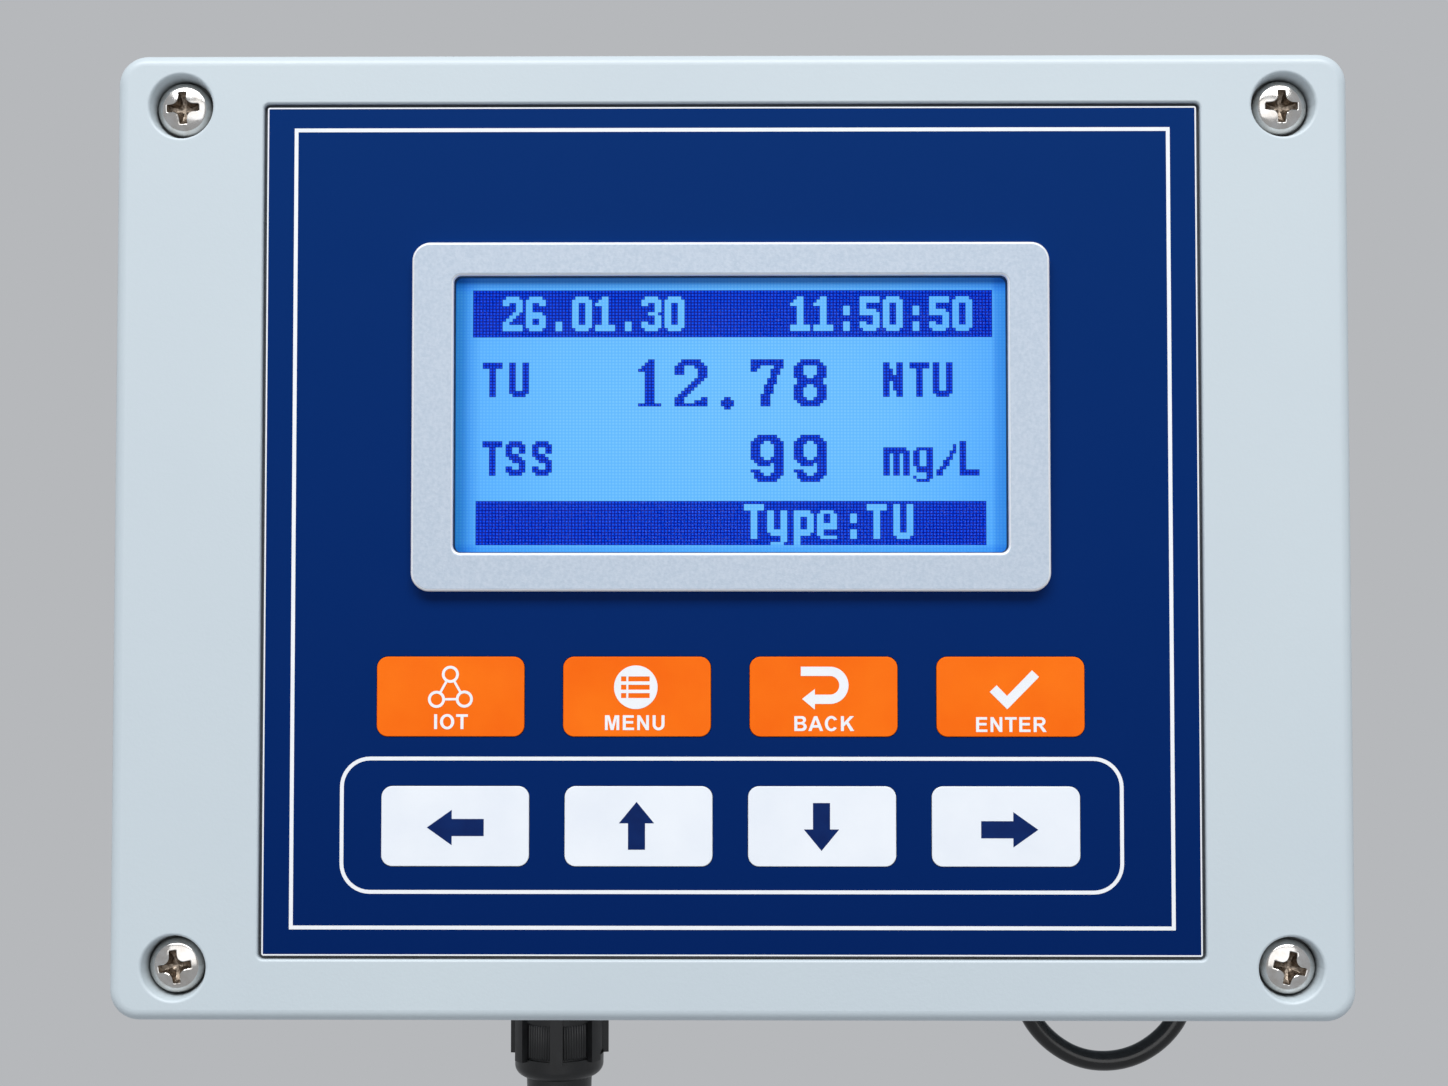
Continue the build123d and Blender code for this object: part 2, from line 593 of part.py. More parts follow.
# Display bezel: a frame that laps over the overlay, with a skirt through the cover's window
with BuildPart() as display_bezel:
    with BuildSketch(face_plane(overlay_front, DISPLAY_X, DISPLAY_Z)):
        RectangleRounded(BEZEL_WIDTH, BEZEL_HEIGHT, BEZEL_RADIUS)
    extrude(amount=overlay_front + BEZEL_PROUD)
    with BuildSketch(face_plane(overlay_front, DISPLAY_X, DISPLAY_Z)):
        RectangleRounded(bezel_skirt_width, bezel_skirt_height, SKIRT_RADIUS)
    extrude(amount=overlay_front - MODULE_FRONT)
    with BuildSketch(face_plane(MODULE_FRONT, DISPLAY_X, DISPLAY_Z + VIEW_LIFT)):
        RectangleRounded(VIEW_WIDTH, VIEW_HEIGHT, VIEW_RADIUS)
    extrude(amount=MODULE_FRONT + BEZEL_PROUD, mode=Mode.SUBTRACT)
    fillet(display_bezel.faces().sort_by(Axis.Y)[0].edges(), BEZEL_EDGE)
    with BuildSketch(face_plane(MODULE_FRONT, DISPLAY_X, DISPLAY_Z + VIEW_LIFT)):
        RectangleRounded(lens_width, lens_height, VIEW_RADIUS + LENS_BORDER)
    extrude(amount=MODULE_FRONT - LENS_FRONT, mode=Mode.SUBTRACT)
write(display_bezel, "display_bezel")

# Display window: a clear lens glued into the back of the bezel
with BuildPart() as display_window:
    with BuildSketch(face_plane(LENS_FRONT, DISPLAY_X, DISPLAY_Z + VIEW_LIFT)):
        RectangleRounded(lens_width, lens_height, VIEW_RADIUS + LENS_BORDER)
    extrude(amount=-LENS_THICKNESS)
write(display_window, "display_window")

# Display module: a folded sheet-steel frame round the glass, with the light guide behind it
with BuildPart() as lcd_frame:
    with BuildSketch(face_plane(MODULE_FRONT, DISPLAY_X, DISPLAY_Z)):
        RectangleRounded(module_width, module_height, SKIRT_RADIUS)
    extrude(amount=MODULE_FRONT - module_back)
    with BuildSketch(face_plane(MODULE_FRONT + MODULE_SHEET, DISPLAY_X, DISPLAY_Z)):
        RectangleRounded(glass_width, glass_height, SKIRT_RADIUS - MODULE_SHEET)
    extrude(amount=MODULE_FRONT + MODULE_SHEET - module_back, mode=Mode.SUBTRACT)
    with BuildSketch(face_plane(MODULE_FRONT, DISPLAY_X, DISPLAY_Z + VIEW_LIFT)):
        Rectangle(VIEW_WIDTH + 2 * MODULE_OVERLAP, VIEW_HEIGHT + 2 * MODULE_OVERLAP)
    extrude(amount=-MODULE_SHEET, mode=Mode.SUBTRACT)
write(lcd_frame, "lcd_frame")

with BuildPart() as lcd_glass:
    with BuildSketch(face_plane(MODULE_FRONT + MODULE_SHEET, DISPLAY_X, DISPLAY_Z)):
        RectangleRounded(glass_width, glass_height, SKIRT_RADIUS - MODULE_SHEET)
    extrude(amount=-MODULE_GLASS)
write(lcd_glass, "lcd_glass")

with BuildPart() as lcd_backlight:
    with BuildSketch(face_plane(module_back, DISPLAY_X, DISPLAY_Z)):
        RectangleRounded(glass_width, glass_height, SKIRT_RADIUS - MODULE_SHEET)
    extrude(amount=MODULE_LIGHT)
write(lcd_backlight, "lcd_backlight")

with BuildPart() as lcd_board:
    with BuildSketch(face_plane(module_back, DISPLAY_X, DISPLAY_Z)):
        Rectangle(LCD_BOARD_WIDTH, LCD_BOARD_HEIGHT)
        with GridLocations(lcd_screw_x, lcd_screw_z, 2, 2):
            Circle(SMALL_SCREW_RADIUS + SCREW_HOLE_CLEARANCE, mode=Mode.SUBTRACT)
    extrude(amount=-BOARD_THICKNESS)
write(lcd_board, "lcd_board")

# Keypad board, with a tact switch behind each key
with BuildPart() as keypad_board:
    with BuildSketch(face_plane(switch_back, 0, keypad_board_z)):
        Rectangle(KEYPAD_BOARD_WIDTH, KEYPAD_BOARD_HEIGHT)
        with GridLocations(keypad_screw_x, keypad_screw_z, 2, 2):
            Circle(SMALL_SCREW_RADIUS + SCREW_HOLE_CLEARANCE, mode=Mode.SUBTRACT)
    extrude(amount=-BOARD_THICKNESS)
write(keypad_board, "keypad_board")

with BuildPart() as key_switches:
    with BuildSketch(face_plane(switch_back)):
        with Locations(key_points):
            Rectangle(SWITCH_SIZE, SWITCH_SIZE)
    extrude(amount=SWITCH_HEIGHT)
    with BuildSketch(face_plane(switch_front)):
        with Locations(key_points):
            Circle(KEY_STEM_RADIUS + KEY_STEM_CLEARANCE)
    extrude(amount=-(SWITCH_ENTRY + KEY_TRAVEL + SWITCH_BOTTOM_ROOM), mode=Mode.SUBTRACT)
write(key_switches, "key_switches")


# Keys: each is a pad in the overlay's window, a rim behind the cover wall and a stem
def make_key(x, z):
    with BuildPart() as key:
        with BuildSketch(face_plane(COVER_WALL, x, z)):
            RectangleRounded(KEY_WIDTH, KEY_HEIGHT, KEY_RADIUS)
        extrude(amount=COVER_WALL - key_front)
        fillet(key.faces().sort_by(Axis.Y)[0].edges(), KEY_EDGE)
        with BuildSketch(face_plane(COVER_WALL, x, z)):
            RectangleRounded(KEY_WIDTH + 2 * KEY_RIM, KEY_HEIGHT + 2 * KEY_RIM, KEY_RADIUS)
        extrude(amount=-KEY_RIM_THICKNESS)
        with BuildSketch(face_plane(key_rim_back, x, z)):
            Circle(KEY_STEM_RADIUS)
        extrude(amount=-KEY_STEM_LENGTH)
    return key


for name, (x, z) in key_places.items():
    write(make_key(x, z), name)

# Small screws: four hold the display board and four the keypad board
with BuildPart() as cover_board_screws:
    for sink, x, z, span_x, span_z in (
        (lcd_board_back, DISPLAY_X, DISPLAY_Z, lcd_screw_x, lcd_screw_z),
        (keypad_board_back, 0, keypad_board_z, keypad_screw_x, keypad_screw_z),
    ):
        with BuildSketch(face_plane(sink, x, z)):
            with GridLocations(span_x, span_z, 2, 2):
                Circle(SMALL_HEAD_RADIUS)
        extrude(amount=-SMALL_HEAD_HEIGHT)
        with BuildSketch(face_plane(sink, x, z)):
            with GridLocations(span_x, span_z, 2, 2):
                Circle(SMALL_SCREW_RADIUS)
        extrude(amount=BOARD_THICKNESS + SMALL_SCREW_GRIP)
write(cover_board_screws, "cover_board_screws")

# Main board on four bosses, with its screws
with BuildPart() as main_board:
    with BuildSketch(face_plane(main_board_front)):
        RectangleRounded(main_board_width, main_board_height, MAIN_BOARD_CORNER)
        with Locations(main_screw_points):
            Circle(MAIN_SCREW_RADIUS + SCREW_HOLE_CLEARANCE, mode=Mode.SUBTRACT)
    extrude(amount=-BOARD_THICKNESS)
write(main_board, "main_board")

with BuildPart() as main_board_screws:
    with BuildSketch(face_plane(main_board_front)):
        with Locations(main_screw_points):
            Circle(MAIN_HEAD_RADIUS)
    extrude(amount=MAIN_HEAD_HEIGHT)
    with BuildSketch(face_plane(main_board_front)):
        with Locations(main_screw_points):
            Circle(MAIN_SCREW_RADIUS)
    extrude(amount=-(BOARD_THICKNESS + MAIN_SCREW_GRIP))
write(main_board_screws, "main_board_screws")

# Terminal blocks in a row along the board's lower edge, with a screw in each pole
terminal_row = sum(POLE_COUNTS) * POLE_PITCH + (len(POLE_COUNTS) - 1) * TERMINAL_GAP
terminal_z = TERMINAL_INSET + TERMINAL_DEPTH / 2 - main_board_height / 2
block_centres = []
pole_points = []
reached = -terminal_row / 2
for poles in POLE_COUNTS:
    block_centres.append((reached + poles * POLE_PITCH / 2, poles * POLE_PITCH))
    for pole in range(poles):
        pole_points.append((reached + (pole + 0.5) * POLE_PITCH, terminal_z))
    reached += poles * POLE_PITCH + TERMINAL_GAP

with BuildPart() as terminal_blocks:
    with BuildSketch(face_plane(main_board_front)):
        for centre, length in block_centres:
            with Locations((centre, terminal_z)):
                Rectangle(length, TERMINAL_DEPTH)
    extrude(amount=TERMINAL_HEIGHT)
    with BuildSketch(face_plane(main_board_front - TERMINAL_HEIGHT)):
        with Locations(pole_points):
            Circle(TERMINAL_SCREW_RADIUS)
    extrude(amount=-(TERMINAL_WELL + TERMINAL_SCREW_LENGTH), mode=Mode.SUBTRACT)
    entry_depth = main_board_front - (TERMINAL_HEIGHT - TERMINAL_WELL - TERMINAL_SCREW_LENGTH) / 2
    with BuildSketch(under_plane(-terminal_lift, 0, entry_depth)):
        with Locations([(x, 0) for x, z in pole_points]):
            Circle(WIRE_ENTRY_RADIUS)
    extrude(amount=-WIRE_ENTRY_DEPTH, mode=Mode.SUBTRACT)
write(terminal_blocks, "terminal_blocks")

with BuildPart() as terminal_screws:
    with BuildSketch(face_plane(main_board_front - TERMINAL_HEIGHT + TERMINAL_WELL)):
        with Locations(pole_points):
            Circle(TERMINAL_SCREW_RADIUS)
    extrude(amount=-TERMINAL_SCREW_LENGTH)
write(terminal_screws, "terminal_screws")

# The board's other parts stand on its front face
with BuildPart() as power_module:
    with BuildSketch(face_plane(main_board_front, power_x, power_z)):
        RectangleRounded(POWER_WIDTH, POWER_HEIGHT, MAIN_BOARD_CORNER / 2)
    extrude(amount=POWER_DEPTH)
write(power_module, "power_module")

with BuildPart() as relays:
    with BuildSketch(face_plane(main_board_front, relay_x, RELAY_Z)):
        with GridLocations(RELAY_PITCH, 0, 2, 1):
            Rectangle(RELAY_WIDTH, RELAY_HEIGHT)
    extrude(amount=RELAY_DEPTH)
write(relays, "relays")

with BuildPart() as capacitors:
    with BuildSketch(face_plane(main_board_front, capacitor_x, capacitor_z)):
        with GridLocations(CAPACITOR_PITCH, 0, 3, 1):
            Circle(CAPACITOR_RADIUS)
    extrude(amount=CAPACITOR_LENGTH)
write(capacitors, "capacitors")

with BuildPart() as processor:
    with BuildSketch(face_plane(main_board_front, CHIP_X, CHIP_Z)):
        Rectangle(CHIP_SIZE, CHIP_SIZE)
    extrude(amount=CHIP_THICKNESS)
write(processor, "processor")

with BuildPart() as cell_holder:
    with BuildSketch(face_plane(main_board_front, cell_x, cell_z)):
        Circle(CELL_RADIUS + HOLDER_FIT + HOLDER_RIM)
    extrude(amount=HOLDER_BASE + CELL_THICKNESS)
    with BuildSketch(face_plane(main_board_front - HOLDER_BASE, cell_x, cell_z)):
        Circle(CELL_RADIUS + HOLDER_FIT)
    extrude(amount=CELL_THICKNESS, mode=Mode.SUBTRACT)
write(cell_holder, "cell_holder")

with BuildPart() as clock_cell:
    with BuildSketch(face_plane(main_board_front - HOLDER_BASE, cell_x, cell_z)):
        Circle(CELL_RADIUS)
    extrude(amount=CELL_THICKNESS)
write(clock_cell, "clock_cell")

# Fuse: a glass tube with metal caps, held in two sheet clips
with BuildPart() as fuse:
    with Locations(Plane(face_plane(main_board_front - FUSE_LIFT, fuse_x, FUSE_Z).origin,
                         x_dir=(0, 0, 1), z_dir=(1, 0, 0))):
        Cylinder(FUSE_RADIUS, FUSE_LENGTH)
write(fuse, "fuse")

with BuildPart() as fuse_clips:
    with BuildSketch(face_plane(main_board_front, fuse_x, FUSE_Z)):
        with GridLocations(FUSE_LENGTH - FUSE_CAP, 0, 2, 1):
            Rectangle(FUSE_CAP, 2 * (FUSE_RADIUS + FUSE_CLIP_THICKNESS))
    extrude(amount=FUSE_LIFT + FUSE_RADIUS / 2)
    with Locations(Plane(face_plane(main_board_front - FUSE_LIFT, fuse_x, FUSE_Z).origin,
                         x_dir=(0, 0, 1), z_dir=(1, 0, 0))):
        Cylinder(FUSE_RADIUS, FUSE_LENGTH, mode=Mode.SUBTRACT)
write(fuse_clips, "fuse_clips")

# Ribbon cable between a header on each board
with BuildPart() as board_headers:
    with BuildSketch(face_plane(main_board_front, HEADER_X, main_header_z)):
        Rectangle(HEADER_WIDTH, HEADER_DEPTH)
    extrude(amount=HEADER_HEIGHT)
    with BuildSketch(face_plane(keypad_board_back, HEADER_X, keypad_board_z)):
        Rectangle(HEADER_WIDTH, HEADER_DEPTH)
    extrude(amount=-HEADER_HEIGHT)
write(board_headers, "board_headers")

ribbon_start = keypad_board_back + HEADER_HEIGHT
ribbon_end = main_board_front - HEADER_HEIGHT
ribbon_lead = (ribbon_end - ribbon_start) / 4
with BuildPart() as ribbon_cable:
    with BuildSketch(Plane.YZ.offset(HEADER_X - RIBBON_WIDTH / 2)):
        with BuildLine() as ribbon_path:
            FilletPolyline(
                (FRONT_Y + ribbon_start, CENTRE_Z + keypad_board_z),
                (FRONT_Y + ribbon_start + ribbon_lead, CENTRE_Z + keypad_board_z),
                (FRONT_Y + ribbon_end - ribbon_lead, CENTRE_Z + main_header_z),
                (FRONT_Y + ribbon_end, CENTRE_Z + main_header_z),
                radius=RIBBON_BEND,
            )
        trace(line_width=RIBBON_THICKNESS)
    extrude(amount=RIBBON_WIDTH)
write(ribbon_cable, "ribbon_cable")

# Gland: a flanged body through the bottom wall, a ring seal below it and a locknut above
hex_end = ORING_THICKNESS + GLAND_HEX_HEIGHT
spigot_end = hex_end + GLAND_SPIGOT_LENGTH
with BuildPart() as gland_body:
    with BuildSketch(under_plane(ORING_THICKNESS, GLAND_X, gland_depth)):
        RegularPolygon(GLAND_HEX / 2, 6, major_radius=False)
    extrude(amount=GLAND_HEX_HEIGHT)
    chamfer(gland_body.edges().filter_by(Axis.Z), GLAND_HEX_BREAK)
    with BuildSketch(under_plane(hex_end, GLAND_X, gland_depth)):
        Circle(GLAND_SPIGOT_RADIUS)
    extrude(amount=GLAND_SPIGOT_LENGTH)
    with BuildSketch(under_plane(ORING_THICKNESS, GLAND_X, gland_depth)):
        Circle(GLAND_THREAD_RADIUS)
    extrude(amount=-(ORING_THICKNESS + SIDE_WALL + GLAND_THREAD_INSIDE))
    with BuildSketch(under_plane(spigot_end, GLAND_X, gland_depth)):
        Circle(SEAL_RADIUS)
    extrude(amount=-SEAL_LENGTH, mode=Mode.SUBTRACT)
    with BuildSketch(under_plane(spigot_end, GLAND_X, gland_depth)):
        Circle(GLAND_BORE_RADIUS)
    extrude(amount=-(spigot_end + SIDE_WALL + GLAND_THREAD_INSIDE), mode=Mode.SUBTRACT)
    with BuildSketch(under_plane(spigot_end, GLAND_X, gland_depth)):
        with PolarLocations((SEAL_RADIUS + GLAND_SPIGOT_RADIUS) / 2, CLAW_SLOTS):
            Rectangle(2 * (GLAND_SPIGOT_RADIUS - SEAL_RADIUS), CLAW_SLOT_WIDTH)
    extrude(amount=-CLAW_SLOT_LENGTH, mode=Mode.SUBTRACT)
write(gland_body, "gland_body")

with BuildPart() as gland_oring:
    with BuildSketch(under_plane(0, GLAND_X, gland_depth)):
        Circle(GLAND_THREAD_RADIUS + THREAD_CLEARANCE + ORING_WIDTH)
        Circle(GLAND_THREAD_RADIUS + THREAD_CLEARANCE, mode=Mode.SUBTRACT)
    extrude(amount=ORING_THICKNESS)
    fillet(gland_oring.edges().sort_by(SortBy.LENGTH)[-2:], ORING_THICKNESS / 3)
write(gland_oring, "gland_oring")

with BuildPart() as gland_locknut:
    with BuildSketch(under_plane(-SIDE_WALL, GLAND_X, gland_depth)):
        RegularPolygon(LOCKNUT_HEX / 2, 6, major_radius=False)
        Circle(GLAND_THREAD_RADIUS + THREAD_CLEARANCE, mode=Mode.SUBTRACT)
    extrude(amount=-LOCKNUT_HEIGHT)
write(gland_locknut, "gland_locknut")

with BuildPart() as gland_seal:
    with BuildSketch(under_plane(spigot_end, GLAND_X, gland_depth)):
        Circle(SEAL_RADIUS)
        Circle(SEAL_BORE_RADIUS, mode=Mode.SUBTRACT)
    extrude(amount=-SEAL_LENGTH)
write(gland_seal, "gland_seal")

# Gland nut: a cap with a rounded shoulder, seven wide ribs for the fingers and a sunk panel
# between each two of them
nut_start = hex_end + NUT_FLANGE_ROOM
nut_end = nut_start + NUT_LENGTH
nut_bore = GLAND_SPIGOT_RADIUS + NUT_BORE_CLEARANCE
nut_mouth = SLEEVE_RADIUS + SLEEVE_FIT
sleeve_top = spigot_end + SLEEVE_ROOM
sleeve_seat = sleeve_top + SLEEVE_FLANGE_THICKNESS
gland_section = Plane(under_plane(0, GLAND_X, gland_depth).origin, x_dir=(1, 0, 0), z_dir=(0, 1, 0))
gland_axis = Axis(gland_section.origin, (0, 0, -1))
with BuildPart() as gland_nut:
    with BuildSketch(gland_section):
        with BuildLine():
            Polyline(
                (nut_bore, nut_start),
                (NUT_RADIUS, nut_start),
                (NUT_END_RADIUS, nut_end),
                (nut_mouth, nut_end),
                (nut_mouth, sleeve_seat),
                (nut_bore, sleeve_seat),
                close=True,
            )
        make_face()
    revolve(axis=gland_axis)
    shoulder = min(NUT_SHOULDER, 0.9 * (NUT_END_RADIUS - nut_mouth))
    fillet(gland_nut.faces().sort_by(Axis.Z)[0].edges().sort_by(SortBy.LENGTH)[-1], shoulder)
    with BuildSketch(under_plane(nut_start + NUT_POCKET_TOP, GLAND_X, gland_depth)):
        Circle(NUT_RIB_RADIUS)
        Circle(NUT_POCKET_RADIUS, mode=Mode.SUBTRACT)
    extrude(amount=NUT_POCKET_LENGTH, mode=Mode.SUBTRACT)
    with BuildSketch(under_plane(nut_start, GLAND_X, gland_depth)) as rib_outline:
        Circle(NUT_RIB_RADIUS)
        Circle((nut_bore + NUT_END_RADIUS) / 2, mode=Mode.SUBTRACT)
        with PolarLocations(NUT_RIB_RADIUS / 2, NUT_RIBS, start_angle=NUT_RIB_TURN):
            Rectangle(NUT_RIB_RADIUS + NUT_RIB_WIDTH, NUT_RIB_WIDTH, mode=Mode.INTERSECT)
    extrude(amount=NUT_RIB_LENGTH)
write(gland_nut, "gland_nut")

with BuildPart() as gland_sleeve:
    with BuildSketch(gland_section):
        with BuildLine():
            Polyline(
                (SLEEVE_BORE_RADIUS, sleeve_top),
                (SLEEVE_RADIUS + SLEEVE_FLANGE_WIDTH, sleeve_top),
                (SLEEVE_RADIUS + SLEEVE_FLANGE_WIDTH, sleeve_seat),
                (SLEEVE_RADIUS, sleeve_seat),
                (SLEEVE_RADIUS, nut_end),
                (SLEEVE_END_RADIUS, nut_end + SLEEVE_LENGTH),
                (SLEEVE_BORE_RADIUS, nut_end + SLEEVE_LENGTH),
                close=True,
            )
        make_face()
    revolve(axis=gland_axis)
    fillet(gland_sleeve.faces().sort_by(Axis.Z)[0].edges().sort_by(SortBy.LENGTH)[-1], SLEEVE_EDGE)
write(gland_sleeve, "gland_sleeve")

# Link cable: a limp loop out of one rubber bush in the bottom wall and into the other.
# Its route is across and down from the middle of the two bushes.
link_route = [
    (-13.2, -4.5),
    (-13.2, 3.5),
    (-9.5, 9.2),
    (-3.5, 12.7),
    (3.6, 12.6),
    (9.6, 9.1),
    (13.2, 3.5),
    (13.2, -4.5),
]
link_radii = []
for before, corner, after in zip(link_route, link_route[1:], link_route[2:]):
    run_in = Vector(*corner) - Vector(*before)
    run_out = Vector(*after) - Vector(*corner)
    half_turn = radians(run_in.get_angle(run_out)) / 2
    link_radii.append(LINK_ARC_SHARE * min(run_in.length, run_out.length) / tan(half_turn))
print("link cable radii", [round(radius, 1) for radius in link_radii])

link_plane = Plane(under_plane(0, link_x, link_depth).origin, x_dir=(1, 0, 0), z_dir=(0, 1, 0))
with BuildPart() as link_cable:
    with BuildLine(link_plane) as link_path:
        FilletPolyline(*link_route, radius=link_radii)
    with BuildSketch(under_plane(link_route[0][1], link_x + link_route[0][0], link_depth)):
        Circle(LINK_RADIUS)
    sweep()
write(link_cable, "link_cable")
link_length = sum(edge.length for edge in link_path.edges())
link_share = link_cable.part.volume / (pi * LINK_RADIUS**2 * link_length)
print("link cable length", round(link_length, 2), "volume share", round(link_share, 4))

with BuildPart() as link_bushes:
    for side, drop in link_points:
        with BuildSketch(under_plane(0, link_x + side, link_depth)):
            Circle(BUSH_FLANGE_RADIUS)
        extrude(amount=BUSH_FLANGE_THICKNESS)
        with BuildSketch(under_plane(0, link_x + side, link_depth)):
            Circle(bush_neck_radius)
        extrude(amount=-SIDE_WALL)
        with BuildSketch(under_plane(-SIDE_WALL, link_x + side, link_depth)):
            Circle(bush_neck_radius + BUSH_LIP)
        extrude(amount=-BUSH_LIP_THICKNESS)
        with BuildSketch(under_plane(BUSH_FLANGE_THICKNESS, link_x + side, link_depth)):
            Circle(LINK_RADIUS + BUSH_FIT)
        extrude(amount=-(BUSH_FLANGE_THICKNESS + SIDE_WALL + BUSH_LIP_THICKNESS), mode=Mode.SUBTRACT)
    rims = link_bushes.faces().filter_by(Axis.Z).group_by(Axis.Z)[0].edges().group_by(SortBy.LENGTH)[-1]
    fillet(rims, BUSH_EDGE)
write(link_bushes, "link_bushes")

# Rail bracket: a moulded plate with a fixed hook over the rail and a channel for the latch
hook_front = RAIL_FLANGE + RAIL_CLEARANCE
hook_back = hook_front + HOOK_THICKNESS
hook_root = RAIL_WIDTH / 2 + RAIL_CLEARANCE
hook_tip = hook_root - HOOK_LIP
channel_depth = LATCH_THICKNESS + 2 * LATCH_FACE_GAP
channel_floor = channel_depth - BRACKET_THICKNESS
latch_hook_end = hook_root + LATCH_HOOK_HEIGHT
slot_top = hook_tip - LATCH_SLOT_GAP
slot_bottom = latch_hook_end + LATCH_TRAVEL + LATCH_SLOT_GAP
peg_top = PEG_BOTTOM - PEG_HEIGHT
spring_top = peg_top - SPRING_LENGTH
latch_end = BRACKET_BOTTOM + LATCH_TAB


def between(low, high):
    """Middle and span of a stretch of z, for a rectangle that fills it."""
    return (low + high) / 2, high - low


with BuildPart() as rail_bracket:
    middle, span = between(-BRACKET_BOTTOM, BRACKET_TOP)
    with BuildSketch(rail_plane(0, 0, middle)):
        RectangleRounded(BRACKET_WIDTH, span, BRACKET_CORNER)
    extrude(amount=BRACKET_THICKNESS)
    middle, span = between(hook_root, BRACKET_TOP)
    with BuildSketch(rail_plane(0, 0, middle)):
        Rectangle(BRACKET_WIDTH - 2 * BRACKET_CORNER, span)
    extrude(amount=-hook_back)
    middle, span = between(hook_tip, hook_root)
    with BuildSketch(rail_plane(hook_front, 0, middle)):
        Rectangle(BRACKET_WIDTH - 2 * BRACKET_CORNER, span)
    extrude(amount=-HOOK_THICKNESS)
    hook_edges = rail_bracket.faces().sort_by(Axis.Y)[-1].edges().filter_by(Axis.X)
    chamfer(hook_edges, HOOK_CHAMFER)
    # the latch's channel in the face towards the box, and the slot that its hook comes through
    middle, span = between(-BRACKET_BOTTOM, LATCH_END_ROOM - LATCH_TOP)
    with BuildSketch(rail_plane(-BRACKET_THICKNESS, 0, middle)):
        Rectangle(LATCH_WIDTH + 2 * LATCH_SIDE_GAP, span)
    extrude(amount=-channel_depth, mode=Mode.SUBTRACT)
    middle, span = between(-slot_bottom, -slot_top)
    with BuildSketch(rail_plane(0, 0, middle)):
        Rectangle(LATCH_HOOK_WIDTH + 2 * LATCH_SLOT_GAP, span)
    extrude(amount=BRACKET_THICKNESS, mode=Mode.SUBTRACT)
    middle, span = between(-PEG_BOTTOM, -peg_top)
    with BuildSketch(rail_plane(channel_floor, 0, middle)):
        Rectangle(PEG_WIDTH, span)
    extrude(amount=channel_depth - LATCH_FACE_GAP)
    # two pockets lighten the plate above the channel, with a rib between them
    middle, span = between(LATCH_END_ROOM - LATCH_TOP + POCKET_WALL, hook_root)
    with BuildSketch(rail_plane(-BRACKET_THICKNESS, 0, middle)):
        with GridLocations(pocket_width + POCKET_WALL, 0, 2, 1):
            RectangleRounded(pocket_width, span, POCKET_CORNER)
    extrude(amount=-POCKET_DEPTH, mode=Mode.SUBTRACT)
    with BuildSketch(rail_plane(0)):
        with GridLocations(BRACKET_SCREW_SPACING_X, BRACKET_SCREW_SPACING_Z, 2, 2):
            Circle(BRACKET_HEAD_RADIUS + BRACKET_SINK_CLEARANCE)
    extrude(amount=BRACKET_SINK_DEPTH, mode=Mode.SUBTRACT)
    with BuildSketch(rail_plane(0)):
        with GridLocations(BRACKET_SCREW_SPACING_X, BRACKET_SCREW_SPACING_Z, 2, 2):
            Circle(BRACKET_SCREW_RADIUS + SCREW_HOLE_CLEARANCE)
    extrude(amount=BRACKET_THICKNESS, mode=Mode.SUBTRACT)
write(rail_bracket, "rail_bracket")

with BuildPart() as bracket_screws:
    with BuildSketch(rail_plane(-BRACKET_SINK_DEPTH)):
        with GridLocations(BRACKET_SCREW_SPACING_X, BRACKET_SCREW_SPACING_Z, 2, 2):
            Circle(BRACKET_HEAD_RADIUS)
    extrude(amount=-BRACKET_HEAD_HEIGHT)
    with BuildSketch(rail_plane(-BRACKET_SINK_DEPTH)):
        with GridLocations(BRACKET_SCREW_SPACING_X, BRACKET_SCREW_SPACING_Z, 2, 2):
            Circle(BRACKET_SCREW_RADIUS)
    extrude(amount=BRACKET_THICKNESS - BRACKET_SINK_DEPTH + BRACKET_SCREW_GRIP)
    with BuildSketch(rail_plane(BRACKET_HEAD_HEIGHT - BRACKET_SINK_DEPTH)):
        with GridLocations(BRACKET_SCREW_SPACING_X, BRACKET_SCREW_SPACING_Z, 2, 2):
            Rectangle(BRACKET_HEAD_RADIUS, CROSS_WIDTH)
            Rectangle(CROSS_WIDTH, BRACKET_HEAD_RADIUS)
    extrude(amount=BRACKET_HEAD_HEIGHT / 2, mode=Mode.SUBTRACT)
write(bracket_screws, "bracket_screws")

with BuildPart() as bracket_inserts:
    with BuildSketch(rail_plane(-BRACKET_THICKNESS)):
        with GridLocations(BRACKET_SCREW_SPACING_X, BRACKET_SCREW_SPACING_Z, 2, 2):
            Circle(BRACKET_INSERT_RADIUS)
            Circle(BRACKET_SCREW_RADIUS + THREAD_CLEARANCE, mode=Mode.SUBTRACT)
    extrude(amount=BRACKET_INSERT_LENGTH)
write(bracket_inserts, "bracket_inserts")

